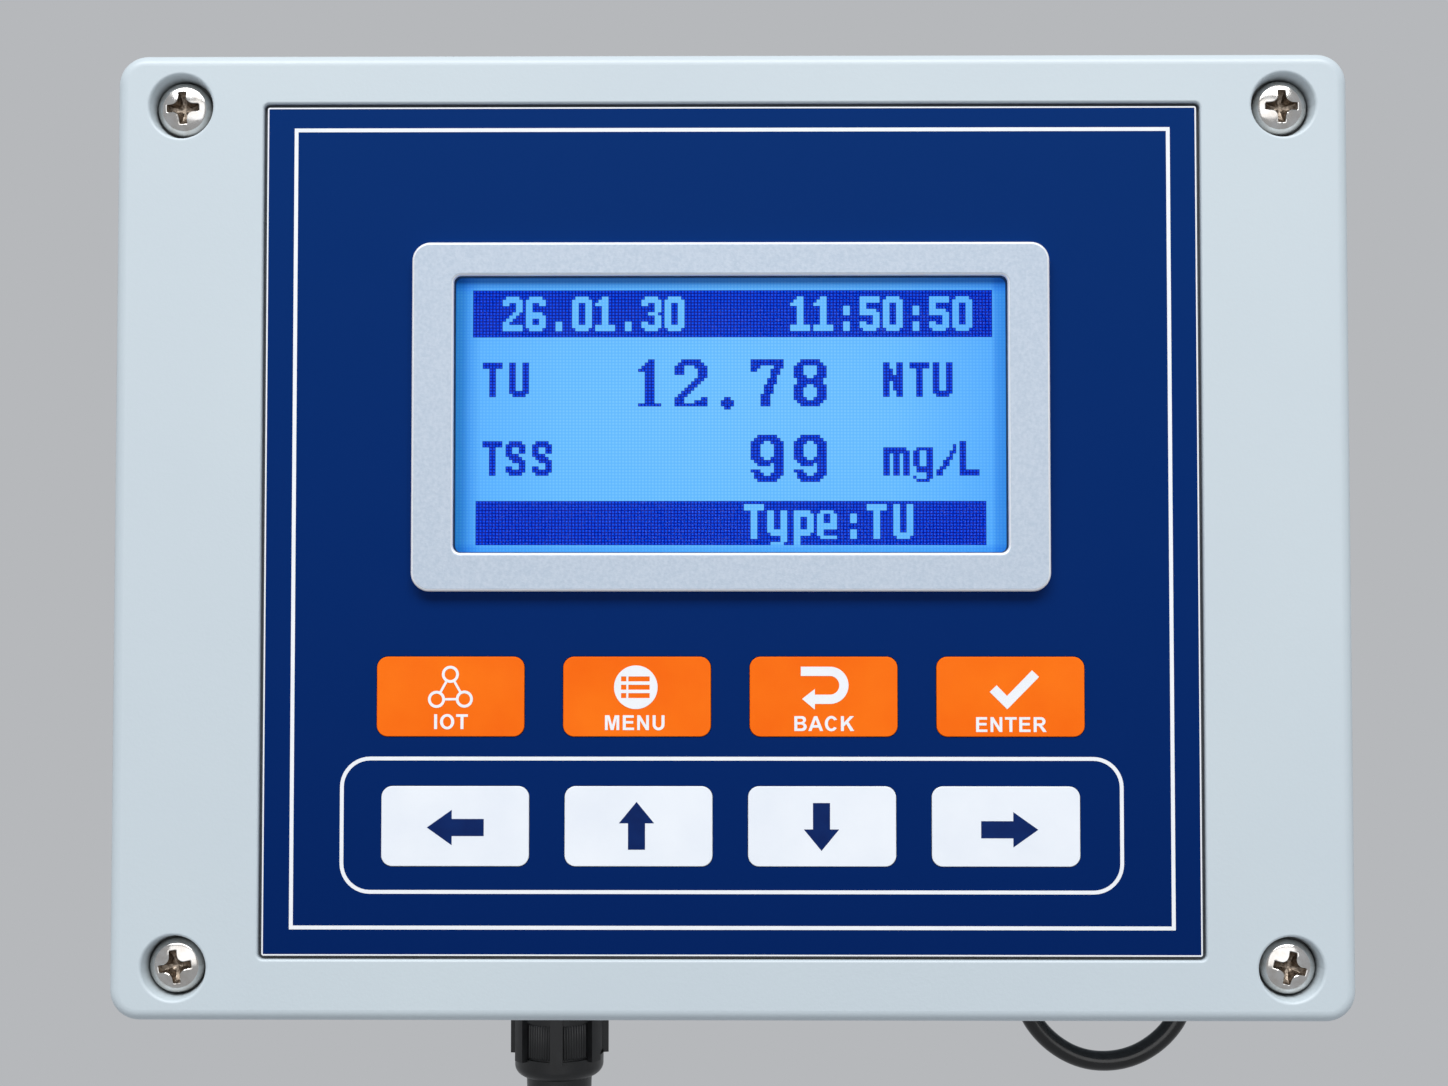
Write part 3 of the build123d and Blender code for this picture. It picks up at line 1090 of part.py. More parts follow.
# Rail latch: a slider with a hook at its back, a tab to pull it down and a window for its spring
with BuildPart() as rail_latch:
    middle, span = between(-latch_end, -LATCH_TOP)
    with BuildSketch(rail_plane(LATCH_FACE_GAP - BRACKET_THICKNESS, 0, middle)):
        Rectangle(LATCH_WIDTH, span)
    extrude(amount=-LATCH_THICKNESS)
    latch_back = LATCH_FACE_GAP - BRACKET_THICKNESS + LATCH_THICKNESS
    middle, span = between(-latch_hook_end, -hook_root)
    with BuildSketch(rail_plane(latch_back, 0, middle)):
        Rectangle(LATCH_HOOK_WIDTH, span)
    extrude(amount=latch_back - hook_back)
    middle, span = between(-hook_root, -hook_tip)
    with BuildSketch(rail_plane(hook_front, 0, middle)):
        Rectangle(LATCH_HOOK_WIDTH, span)
    extrude(amount=-HOOK_THICKNESS)
    chamfer(rail_latch.faces().sort_by(Axis.Y)[-1].edges().filter_by(Axis.X), HOOK_CHAMFER)
    middle, span = between(-PEG_BOTTOM - LATCH_SLOT_GAP, -spring_top)
    with BuildSketch(rail_plane(-BRACKET_THICKNESS, 0, middle)):
        Rectangle(PEG_WIDTH + 2 * WINDOW_GAP, span)
    extrude(amount=-BRACKET_THICKNESS, mode=Mode.SUBTRACT)
    with BuildSketch(rail_plane(-BRACKET_THICKNESS, 0, LATCH_TAB / 2 - latch_end)):
        Rectangle(PRY_SLOT_WIDTH, PRY_SLOT_HEIGHT)
    extrude(amount=-BRACKET_THICKNESS, mode=Mode.SUBTRACT)
write(rail_latch, "rail_latch")

# Latch spring: an open coil between the peg and the top of the latch's window
coil_height = SPRING_LENGTH - 2 * SPRING_WIRE_RADIUS
with BuildPart() as latch_spring:
    with BuildLine() as coil:
        Helix(
            pitch=coil_height / SPRING_TURNS,
            height=coil_height,
            radius=SPRING_RADIUS,
            center=(0, channel_floor - channel_depth / 2, SPRING_WIRE_RADIUS - peg_top),
        )
    with BuildSketch(Plane(coil.line @ 0, z_dir=coil.line % 0)):
        Circle(SPRING_WIRE_RADIUS)
    sweep(is_frenet=True)
write(latch_spring, "latch_spring")
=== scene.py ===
import math

import bpy
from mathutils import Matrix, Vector


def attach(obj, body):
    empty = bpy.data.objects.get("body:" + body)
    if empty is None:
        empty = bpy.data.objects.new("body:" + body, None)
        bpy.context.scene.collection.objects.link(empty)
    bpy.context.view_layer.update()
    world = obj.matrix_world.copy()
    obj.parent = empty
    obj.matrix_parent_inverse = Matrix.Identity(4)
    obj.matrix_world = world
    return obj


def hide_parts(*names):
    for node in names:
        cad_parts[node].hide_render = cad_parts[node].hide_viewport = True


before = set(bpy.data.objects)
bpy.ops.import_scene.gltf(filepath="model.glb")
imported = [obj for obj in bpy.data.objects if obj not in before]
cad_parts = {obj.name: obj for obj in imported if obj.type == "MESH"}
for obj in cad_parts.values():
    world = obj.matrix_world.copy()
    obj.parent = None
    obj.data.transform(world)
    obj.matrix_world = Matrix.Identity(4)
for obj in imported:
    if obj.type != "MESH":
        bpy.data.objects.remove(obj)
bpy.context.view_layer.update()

# The enclosure base is the deep back half of the box, moulded in pale blue-grey ABS. Its outside is
# spark-eroded to a fine satin grain. The cover and the rail bracket are screwed to it.
FACE_CENTRE_Z = -0.034
FRONT_Y = -0.072
HOUSING_GREY = (198, 210, 218)


def linear(red, green, blue):
    """The linear colour of a paint mixed in 0 to 255 steps."""
    steps = [value / 255 for value in (red, green, blue)]
    return [s / 12.92 if s <= 0.04045 else ((s + 0.055) / 1.055) ** 2.4 for s in steps] + [1.0]


def finish_of(name, colour, roughness, metallic=0.0):
    """A new material with its colour, gloss and metal set on the shader."""
    finish = bpy.data.materials.new(name)
    finish.use_nodes = True
    shader = finish.node_tree.nodes["Principled BSDF"]
    shader.inputs["Base Color"].default_value = linear(*colour)
    shader.inputs["Roughness"].default_value = roughness
    shader.inputs["Metallic"].default_value = metallic
    return finish


def noise_in(finish, size, detail=3.0, stretch=(1, 1, 1)):
    """A noise node whose grain is size metres across, in the part's own place."""
    nodes = finish.node_tree.nodes
    links = finish.node_tree.links
    place = nodes.new("ShaderNodeTexCoord")
    lay = nodes.new("ShaderNodeMapping")
    lay.inputs["Scale"].default_value = [s / size for s in stretch]
    noise = nodes.new("ShaderNodeTexNoise")
    noise.inputs["Scale"].default_value = 1.0
    noise.inputs["Detail"].default_value = detail
    links.new(place.outputs["Object"], lay.inputs["Vector"])
    links.new(lay.outputs["Vector"], noise.inputs["Vector"])
    return noise


def grain(finish, size, height, detail=2.0, stretch=(1, 1, 1)):
    """Presses a grain of that size and height into the surface."""
    nodes = finish.node_tree.nodes
    links = finish.node_tree.links
    shader = nodes["Principled BSDF"]
    bump = nodes.new("ShaderNodeBump")
    bump.inputs["Distance"].default_value = height
    links.new(noise_in(finish, size, detail, stretch).outputs["Fac"], bump.inputs["Height"])
    for link in list(shader.inputs["Normal"].links):
        links.new(link.from_socket, bump.inputs["Normal"])
    links.new(bump.outputs["Normal"], shader.inputs["Normal"])


def mottle(finish, one, other, size, detail=3.0, stretch=(1, 1, 1)):
    """Lets the colour drift between two paints."""
    nodes = finish.node_tree.nodes
    links = finish.node_tree.links
    ramp = nodes.new("ShaderNodeValToRGB")
    ramp.color_ramp.elements[0].position = 0.32
    ramp.color_ramp.elements[0].color = linear(*one)
    ramp.color_ramp.elements[1].position = 0.68
    ramp.color_ramp.elements[1].color = linear(*other)
    links.new(noise_in(finish, size, detail, stretch).outputs["Fac"], ramp.inputs["Fac"])
    links.new(ramp.outputs["Color"], nodes["Principled BSDF"].inputs["Base Color"])


def handled(finish, low, high, size, detail=3.0, stretch=(1, 1, 1)):
    """Lets the gloss drift between two roughness values, as on a surface that hands have touched."""
    nodes = finish.node_tree.nodes
    links = finish.node_tree.links
    span = nodes.new("ShaderNodeMapRange")
    span.inputs["From Min"].default_value = 0.3
    span.inputs["From Max"].default_value = 0.7
    span.inputs["To Min"].default_value = low
    span.inputs["To Max"].default_value = high
    links.new(noise_in(finish, size, detail, stretch).outputs["Fac"], span.inputs["Value"])
    links.new(span.outputs["Result"], nodes["Principled BSDF"].inputs["Roughness"])


def dress(finish, *names):
    """Gives these CAD nodes the finish."""
    for name in names:
        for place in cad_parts[name].material_slots:
            place.material = finish


moulded_housing = finish_of("moulded_housing", HOUSING_GREY, 0.36)
mottle(moulded_housing, (197, 209, 217), (200, 212, 220), 0.045, 2)
handled(moulded_housing, 0.33, 0.40, 0.012)
grain(moulded_housing, 0.00045, 0.000012)
dress(moulded_housing, "base_housing")

# The cover gasket is a square cord of black foam rubber, laid in the groove of the base.
# The cover squeezes it when its screws are tightened.
foam_rubber = finish_of("foam_rubber", (28, 29, 31), 0.85)
mottle(foam_rubber, (22, 23, 25), (36, 37, 39), 0.0012)
grain(foam_rubber, 0.0006, 0.00006, 4)
dress(foam_rubber, "cover_gasket")

# Brass inserts take the cover screws and the bracket screws. They are turned from brass rod,
# knurled outside, and pressed hot into the plastic.
brass = finish_of("brass", (196, 158, 86), 0.32, 1.0)
mottle(brass, (182, 142, 74), (206, 170, 98), 0.002)
handled(brass, 0.26, 0.42, 0.0012)
grain(brass, 0.0003, 0.00001, 2, (1, 6, 1))
dress(brass, "cover_inserts", "bracket_inserts")

# The rail bracket is a block of mid-grey glass-filled nylon with a fixed hook at its top. Four
# zinc-plated screws hold it to the back of the base.
filled_nylon = finish_of("filled_nylon", (92, 97, 102), 0.55)
mottle(filled_nylon, (86, 91, 96), (99, 104, 109), 0.004, 5, (1, 3, 1))
handled(filled_nylon, 0.48, 0.64, 0.003)
grain(filled_nylon, 0.0005, 0.00002, 4)
dress(filled_nylon, "rail_bracket")

zinc = finish_of("zinc", (186, 190, 196), 0.3, 1.0)
mottle(zinc, (172, 177, 186), (200, 202, 200), 0.0025)
handled(zinc, 0.24, 0.4, 0.0009)
grain(zinc, 0.0004, 0.000008)
dress(zinc, "bracket_screws", "main_board_screws", "cover_board_screws")

# The rail latch slides in the bracket and is pulled down with a screwdriver to free the rail. It is
# moulded in black acetal, and a coil spring of bright wire pushes it back up.
latch_acetal = finish_of("latch_acetal", (24, 25, 27), 0.38)
mottle(latch_acetal, (20, 21, 23), (31, 32, 35), 0.005)
handled(latch_acetal, 0.32, 0.48, 0.002)
grain(latch_acetal, 0.0004, 0.000008)
dress(latch_acetal, "rail_latch")

spring_wire = finish_of("spring_wire", (188, 190, 194), 0.25, 1.0)
mottle(spring_wire, (168, 170, 176), (205, 206, 208), 0.0012)
handled(spring_wire, 0.2, 0.36, 0.0006)
grain(spring_wire, 0.0002, 0.000004, 2, (1, 1, 4))
dress(spring_wire, "latch_spring")

# The boards are glass-epoxy laminate with a green solder mask over copper, cut by router.
# They are screwed to the posts of the base and of the cover.
solder_mask = finish_of("solder_mask", (20, 92, 52), 0.35)
mottle(solder_mask, (16, 84, 46), (30, 112, 62), 0.0022, 1)
handled(solder_mask, 0.28, 0.44, 0.003)
grain(solder_mask, 0.0011, 0.00002, 1)
dress(solder_mask, "main_board", "keypad_board", "lcd_board")

# Pluggable terminal blocks of green polyamide stand along the bottom of the main board, with
# plated clamp screws in their tops.
terminal_green = finish_of("terminal_green", (44, 142, 76), 0.42)
mottle(terminal_green, (38, 132, 68), (52, 152, 86), 0.004)
handled(terminal_green, 0.36, 0.5, 0.002)
grain(terminal_green, 0.0004, 0.00001)
dress(terminal_green, "terminal_blocks")

plated_steel = finish_of("plated_steel", (192, 190, 184), 0.26, 1.0)
mottle(plated_steel, (176, 172, 164), (206, 206, 202), 0.0015)
handled(plated_steel, 0.2, 0.36, 0.0008)
grain(plated_steel, 0.0003, 0.000006)
dress(plated_steel, "terminal_screws", "fuse_clips")

# The power module, the processor, the cell holder and the headers are black moulded parts,
# soldered to the main board.
black_moulding = finish_of("black_moulding", (26, 27, 29), 0.5)
mottle(black_moulding, (22, 23, 25), (33, 34, 36), 0.003)
handled(black_moulding, 0.42, 0.6, 0.0015)
grain(black_moulding, 0.0003, 0.00001)
dress(black_moulding, "power_module", "processor", "cell_holder", "board_headers", "key_switches")

# Two sealed relays switch the alarm outputs. Their cases are moulded in blue polyester, and they
# are soldered to the main board.
relay_case = finish_of("relay_case", (30, 92, 168), 0.34)
mottle(relay_case, (26, 86, 160), (36, 100, 178), 0.004)
handled(relay_case, 0.28, 0.42, 0.002)
grain(relay_case, 0.0005, 0.000008)
dress(relay_case, "relays")

# The capacitors smooth the supply. They are drawn aluminium cans in a shrunk dark sleeve, soldered
# beside the power module.
can_sleeve = finish_of("can_sleeve", (46, 50, 78), 0.3)
mottle(can_sleeve, (42, 46, 72), (54, 58, 88), 0.003)
handled(can_sleeve, 0.24, 0.38, 0.002)
grain(can_sleeve, 0.0009, 0.00001)
dress(can_sleeve, "capacitors")

# The clock cell keeps the time when the power is off. It is a button cell with a pressed stainless
# case, pushed into its holder.
cell_steel = finish_of("cell_steel", (202, 204, 206), 0.22, 1.0)
mottle(cell_steel, (190, 192, 196), (212, 213, 214), 0.004)
handled(cell_steel, 0.18, 0.3, 0.001)
grain(cell_steel, 0.00025, 0.000003, 2, (6, 1, 1))
dress(cell_steel, "clock_cell")

# The fuse guards the supply. It is a glass tube with plated caps, held in spring clips on the main
# board.
fuse_tube = finish_of("fuse_tube", (214, 220, 216), 0.12)
mottle(fuse_tube, (206, 214, 210), (224, 228, 224), 0.003)
handled(fuse_tube, 0.08, 0.18, 0.002)
grain(fuse_tube, 0.0008, 0.000004)
dress(fuse_tube, "fuse")

# A grey ribbon cable joins the main board to the boards in the cover. Its cores are moulded side
# by side, so its surface is ribbed.
ribbon_jacket = finish_of("ribbon_jacket", (150, 153, 158), 0.45)
mottle(ribbon_jacket, (142, 145, 151), (160, 163, 167), 0.0012, 1, (1, 0.05, 0.05))
handled(ribbon_jacket, 0.38, 0.52, 0.003)
grain(ribbon_jacket, 0.0013, 0.00012, 0, (1, 0.02, 0.02))
dress(ribbon_jacket, "ribbon_cable")

# The cable gland is moulded in black nylon: a hex body through the bottom wall, held inside by a
# locknut, with a rubber ring under its flange and a rubber seal for the sensor cable in it.
gland_nylon = finish_of("gland_nylon", (20, 21, 23), 0.36)
mottle(gland_nylon, (16, 17, 19), (25, 26, 28), 0.003)
handled(gland_nylon, 0.3, 0.44, 0.0016)
grain(gland_nylon, 0.0004, 0.00001)
dress(gland_nylon, "gland_body", "gland_locknut", "gland_nut", "gland_sleeve")

gland_rubber = finish_of("gland_rubber", (16, 16, 17), 0.7)
mottle(gland_rubber, (13, 13, 14), (24, 24, 25), 0.0015)
handled(gland_rubber, 0.6, 0.8, 0.001)
grain(gland_rubber, 0.0005, 0.00002)
dress(gland_rubber, "gland_oring", "gland_seal", "link_bushes")

# The panels between the ribs of the gland nut have a fine straight knurl for wet fingers. It is
# moulded in one piece with the black nylon nut.
GLAND_X = -0.0289
GLAND_Y = -0.032
KNURL_TOP_Z = -0.1136
KNURL_FOOT_Z = -0.1192
NUT_RIBS = 7
FIRST_RIB = math.radians(-88)
PANEL_RADIUS = 0.00702
KNURL_HEIGHT = 0.00017
KNURLS_IN_PANEL = 9
KNURL_TURN = math.radians(3.8)
KNURL_BEVEL = 0.0002
KNURL_PROFILE = ((-0.5, 0.0), (-0.3, 0.7), (0.0, 1.0), (0.3, 0.7), (0.5, 0.0))


def meshed(name, corners, faces, *finishes):
    """A new piece made of these corners and faces, with its finishes."""
    mesh = bpy.data.meshes.new(name)
    mesh.from_pydata(corners, [], faces)
    for finish in finishes:
        mesh.materials.append(finish)
    piece = bpy.data.objects.new(name, mesh)
    bpy.context.collection.objects.link(piece)
    return piece


knurl_corners = []
knurl_faces = []
for rib in range(NUT_RIBS):
    panel_middle = FIRST_RIB + 2 * math.pi * (rib + 0.5) / NUT_RIBS
    for knurl in range(KNURLS_IN_PANEL):
        middle = panel_middle + (knurl - (KNURLS_IN_PANEL - 1) / 2) * KNURL_TURN
        first = len(knurl_corners)
        for height, rise in ((KNURL_TOP_Z, 0.0), (KNURL_TOP_Z - KNURL_BEVEL, 1.0),
                             (KNURL_FOOT_Z + KNURL_BEVEL, 1.0), (KNURL_FOOT_Z, 0.0)):
            for aside, crown in KNURL_PROFILE:
                radius = PANEL_RADIUS + KNURL_HEIGHT * crown * rise
                angle = middle + aside * KNURL_TURN
                knurl_corners.append((GLAND_X + radius * math.cos(angle),
                                      GLAND_Y + radius * math.sin(angle), height))
        points = len(KNURL_PROFILE)
        for level in range(3):
            for step in range(points - 1):
                corner = first + points * level + step
                knurl_faces.append((corner, corner + points, corner + points + 1, corner + 1))
nut_knurl = meshed("nut_knurl", knurl_corners, knurl_faces, gland_nylon)
nut_knurl.data.shade_smooth()
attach(nut_knurl, "gland_nut")

# The link cable is a short black PVC lead that leaves the bottom wall through one rubber bush and
# goes back in through the other. It is held only by the bushes and hangs in a round loop.
LINK_X = 0.0598
LINK_Y = -0.044
BOTTOM_Z = -0.105
LINK_DIAMETER = 0.0031
link_points = [
    (-0.0132, 0.0045),
    (-0.0132, -0.0035),
    (-0.0095, -0.0092),
    (-0.0035, -0.0127),
    (0.0036, -0.0126),
    (0.0096, -0.0091),
    (0.0132, -0.0035),
    (0.0132, 0.0045),
]
cable_pvc = finish_of("cable_pvc", (15, 16, 17), 0.2)
mottle(cable_pvc, (12, 13, 14), (20, 20, 22), 0.004)
handled(cable_pvc, 0.16, 0.26, 0.0025)
grain(cable_pvc, 0.0009, 0.000006)
link_line = bpy.data.curves.new("link_cable_line", "CURVE")
link_line.dimensions = "3D"
link_line.resolution_u = 16
link_line.bevel_depth = LINK_DIAMETER / 2
link_line.bevel_resolution = 8
link_run = link_line.splines.new("NURBS")
link_run.points.add(len(link_points) - 1)
for point, (across, up) in zip(link_run.points, link_points):
    point.co = (LINK_X + across, LINK_Y, BOTTOM_Z + up, 1.0)
link_run.order_u = 3
link_run.use_endpoint_u = True
link_line.materials.append(cable_pvc)
link_cord = bpy.data.objects.new("link_cable_lead", link_line)
bpy.context.collection.objects.link(link_cord)
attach(link_cord, "root")
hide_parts("link_cable")

# The front cover is moulded in the same ABS as the base. It has a well for each screw and a
# shallow recess for the overlay. Painted shade darkens the walls of each well towards its foot, to a
# near-black ring there, and darkens the gap round the overlay.
SCREW_ACROSS = 0.081
SCREW_UP = 0.063
cover_housing = finish_of("cover_housing", HOUSING_GREY, 0.36)
mottle(cover_housing, (197, 209, 217), (200, 212, 219), 0.05, 2)
handled(cover_housing, 0.33, 0.40, 0.014)
grain(cover_housing, 0.00042, 0.000012)


def worked(finish, operation, one, other=None):
    """The result of one sum on two inputs, each a socket or a number."""
    nodes = finish.node_tree.nodes
    links = finish.node_tree.links
    sum_node = nodes.new("ShaderNodeMath")
    sum_node.operation = operation
    for socket, value in zip(sum_node.inputs, (one, other)):
        if isinstance(value, (int, float)):
            socket.default_value = value
        elif value is not None:
            links.new(value, socket)
    return sum_node.outputs[0]


def faded(finish, value, start, end, smooth=True):
    """Runs from 0 to 1 while the value goes from start to end."""
    span = finish.node_tree.nodes.new("ShaderNodeMapRange")
    if smooth:
        span.interpolation_type = "SMOOTHSTEP"
    span.inputs["From Min"].default_value = start
    span.inputs["From Max"].default_value = end
    finish.node_tree.links.new(value, span.inputs["Value"])
    return span.outputs["Result"]


def axes_of(finish):
    """The three axes of the part's own place."""
    place = finish.node_tree.nodes.new("ShaderNodeTexCoord")
    axes = finish.node_tree.nodes.new("ShaderNodeSeparateXYZ")
    finish.node_tree.links.new(place.outputs["Object"], axes.inputs["Vector"])
    return axes.outputs


def tinted(finish, amount, colour):
    """Lays another paint over the colour, as far as the amount says."""
    nodes = finish.node_tree.nodes
    links = finish.node_tree.links
    shader = nodes["Principled BSDF"]
    over = nodes.new("ShaderNodeMix")
    over.data_type = "RGBA"
    links.new(amount, over.inputs["Factor"])
    over.inputs["A"].default_value = shader.inputs["Base Color"].default_value
    for link in list(shader.inputs["Base Color"].links):
        links.new(link.from_socket, over.inputs["A"])
    over.inputs["B"].default_value = linear(*colour)
    links.new(over.outputs["Result"], shader.inputs["Base Color"])


cover_axes = axes_of(cover_housing)
aside_of_middle = worked(cover_housing, "ABSOLUTE", cover_axes["X"])
above_middle = worked(cover_housing, "SUBTRACT", cover_axes["Z"], FACE_CENTRE_Z)
up_or_down = worked(cover_housing, "ABSOLUTE", above_middle)
from_screw_x = worked(cover_housing, "SUBTRACT", aside_of_middle, SCREW_ACROSS)
from_screw_z = worked(cover_housing, "SUBTRACT", up_or_down, SCREW_UP)
from_screw = worked(cover_housing, "SQRT", worked(
    cover_housing, "ADD", worked(cover_housing, "MULTIPLY", from_screw_x, from_screw_x),
    worked(cover_housing, "MULTIPLY", from_screw_z, from_screw_z)))
in_well = faded(cover_housing, from_screw, 0.0054, 0.0050)
in_recess = worked(cover_housing, "MULTIPLY", faded(cover_housing, aside_of_middle, 0.0697, 0.0693),
                   faded(cover_housing, up_or_down, 0.0646, 0.0642))
# Painted shade: each row darkens the colour with depth, in the wells and in the gap round the overlay.
for first_depth, last_depth, most, paint, where in (
        (0.0006, 0.0028, 0.6, (104, 105, 103), in_well), (0.0022, 0.0029, 0.9, (24, 24, 26), in_well),
        (0.0005, 0.0011, 0.85, (30, 34, 42), in_recess)):
    deep = faded(cover_housing, cover_axes["Y"], FRONT_Y + first_depth, FRONT_Y + last_depth)
    painted_shade = worked(cover_housing, "MULTIPLY", deep, where)
    tinted(cover_housing, worked(cover_housing, "MULTIPLY", painted_shade, most), paint)
dress(cover_housing, "front_cover")

# Four pan head screws of bright nickel-plated steel hold the cover, one in each well. Their heads are
# pressed with a low polished crown, and the cross is punched in, so its walls stay dark and rough.
CROWN_RADIUS = 7.5
CROWN_TOP = 0.45
CROSS_FLOOR = 2.35
bright_screw = finish_of("bright_screw", (208, 205, 201), 0.14, 1.0)
mottle(bright_screw, (198, 193, 187), (214, 213, 211), 0.0016, 4)
handled(bright_screw, 0.1, 0.2, 0.0007)
grain(bright_screw, 0.0004, 0.000003, 3)
punched_steel = finish_of("punched_steel", (134, 122, 110), 0.38, 1.0)
mottle(punched_steel, (92, 82, 72), (168, 155, 141), 0.0004, 4)
handled(punched_steel, 0.26, 0.5, 0.0003)
grain(punched_steel, 0.00018, 0.00004, 4)


def crown_depth(radius):
    """How far the crown of the head lies behind the front face, in millimetres."""
    return CROWN_TOP + radius ** 2 / (2 * CROWN_RADIUS)


def cross_line(tip, half, corner, blunt=0.12):
    """Points round a punched cross, in millimetres: four wings with round corners between."""
    hub = half + corner
    points = []
    for quarter in range(4):
        wing = [(tip - blunt, -half), (tip, blunt - half), (tip, (blunt - half) / 3),
                (tip, (half - blunt) / 3), (tip, half - blunt), (tip - blunt, half)]
        for angle in range(270, 179, -10):
            bend = math.radians(angle)
            wing.append((hub + corner * math.cos(bend), hub + corner * math.sin(bend)))
        turn = math.radians(90 * quarter)
        for x, z in wing:
            points.append((x * math.cos(turn) - z * math.sin(turn),
                           x * math.sin(turn) + z * math.cos(turn)))
    return points


mouth = cross_line(2.5, 0.66, 0.98)
screw_rings = []
for radius, depth in ((1.1, 30.0), (1.96, 29.2), (1.96, 3.02), (3.85, 3.0), (3.98, 2.9), (4.04, 2.6),
                      (4.04, 2.3), (3.97, 1.98), (3.83, 1.7), (3.62, 1.44), (3.4, 1.25), (3.26, 1.17),
                      (3.18, 1.13), (3.08, crown_depth(3.08)), (2.85, crown_depth(2.85)),
                      (2.66, crown_depth(2.66))):
    ring = []
    for x, z in mouth:
        reach = radius / math.hypot(x, z)
        ring.append((x * reach, depth, z * reach))
    screw_rings.append(ring)
halfway = [((x + px) / 2, (z + pz) / 2) for (x, z), (px, _, pz) in zip(mouth, screw_rings[-1])]
for line, drop in ((halfway, 0.0), (mouth, 0.0), (cross_line(2.4, 0.57, 1.07), 0.08)):
    screw_rings.append([(x, crown_depth(math.hypot(x, z)) + drop, z) for x, z in line])
punched_from = len(screw_rings) - 1
for tip, half, corner, depth in ((2.22, 0.46, 1.0, 1.25), (1.7, 0.36, 0.8, 1.85), (0.95, 0.28, 0.5, 2.15),
                                 (0.6, 0.16, 0.3, 2.25)):
    screw_rings.append([(x, depth, z) for x, z in cross_line(tip, half, corner, 0.06)])
screw_corners = []
screw_faces = []
screw_finishes = []
for side, end, turned in ((-1, 1, 3), (1, 1, 0), (-1, -1, 9), (1, -1, -14)):
    turn = math.radians(turned)
    screw_x = side * SCREW_ACROSS
    screw_z = FACE_CENTRE_Z + end * SCREW_UP
    first = len(screw_corners)
    count = len(mouth)
    for ring in screw_rings:
        for x, depth, z in ring:
            screw_corners.append((screw_x + (x * math.cos(turn) - z * math.sin(turn)) / 1000,
                                  FRONT_Y + depth / 1000,
                                  screw_z + (x * math.sin(turn) + z * math.cos(turn)) / 1000))
    for level in range(len(screw_rings) - 1):
        for step in range(count):
            one = first + level * count + step
            two = first + level * count + (step + 1) % count
            screw_faces.append((one, two, two + count, one + count))
            screw_finishes.append(1 if level >= punched_from else 0)
    screw_faces.append(tuple(range(first + count - 1, first - 1, -1)))
    screw_finishes.append(0)
    screw_corners.append((screw_x, FRONT_Y + CROSS_FLOOR / 1000, screw_z))
    last = first + (len(screw_rings) - 1) * count
    for step in range(count):
        screw_faces.append((last + step, last + (step + 1) % count, len(screw_corners) - 1))
        screw_finishes.append(1)
pan_head_screws = meshed("pan_head_screws", screw_corners, screw_faces, bright_screw, punched_steel)
pan_head_screws.data.polygons.foreach_set("material_index", screw_finishes)
pan_head_screws.data.shade_smooth()
pan_head_screws.data.set_sharp_from_angle(angle=math.radians(34))
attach(pan_head_screws, "root")
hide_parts("cover_screws")

# The display module has a steel frame round a lit glass panel. The lit panel shows a pale blue
# ground with a fine mesh of dots. Painted shade darkens it towards its edges, most at the top and left.
module_steel = finish_of("module_steel", (70, 72, 76), 0.35, 0.9)
mottle(module_steel, (60, 62, 66), (82, 84, 88), 0.003)
handled(module_steel, 0.28, 0.44, 0.0015)
grain(module_steel, 0.0004, 0.000006)
dress(module_steel, "lcd_frame")
light_guide = finish_of("light_guide", (226, 232, 240), 0.3)
mottle(light_guide, (218, 226, 236), (234, 238, 244), 0.006)
handled(light_guide, 0.24, 0.36, 0.004)
grain(light_guide, 0.0006, 0.000008)
dress(light_guide, "lcd_backlight")

DOT_WIDE = 0.000489
DOT_HIGH = 0.000466
DISPLAY_LEFT = -0.03822
DISPLAY_TOP = 0.03617 + FACE_CENTRE_Z
DOTS_Y = FRONT_Y + 0.00268
DOT_EDGE_FROM = 0.04
DOT_EDGE_TO = 0.34


def along(finish, axis, stops):
    """A colour that runs through paints at their places, in metres, along one axis of the part."""
    low = stops[0][0]
    high = stops[-1][0]
    ramp = finish.node_tree.nodes.new("ShaderNodeValToRGB")
    paints = ramp.color_ramp.elements
    for point, paint in stops[1:-1]:
        paints.new((point - low) / (high - low)).color = linear(*paint)
    paints[0].color = linear(*stops[0][1])
    paints[-1].color = linear(*stops[-1][1])
    reached = faded(finish, axes_of(finish)[axis], low, high, False)
    finish.node_tree.links.new(reached, ramp.inputs["Fac"])
    return ramp.outputs["Color"]


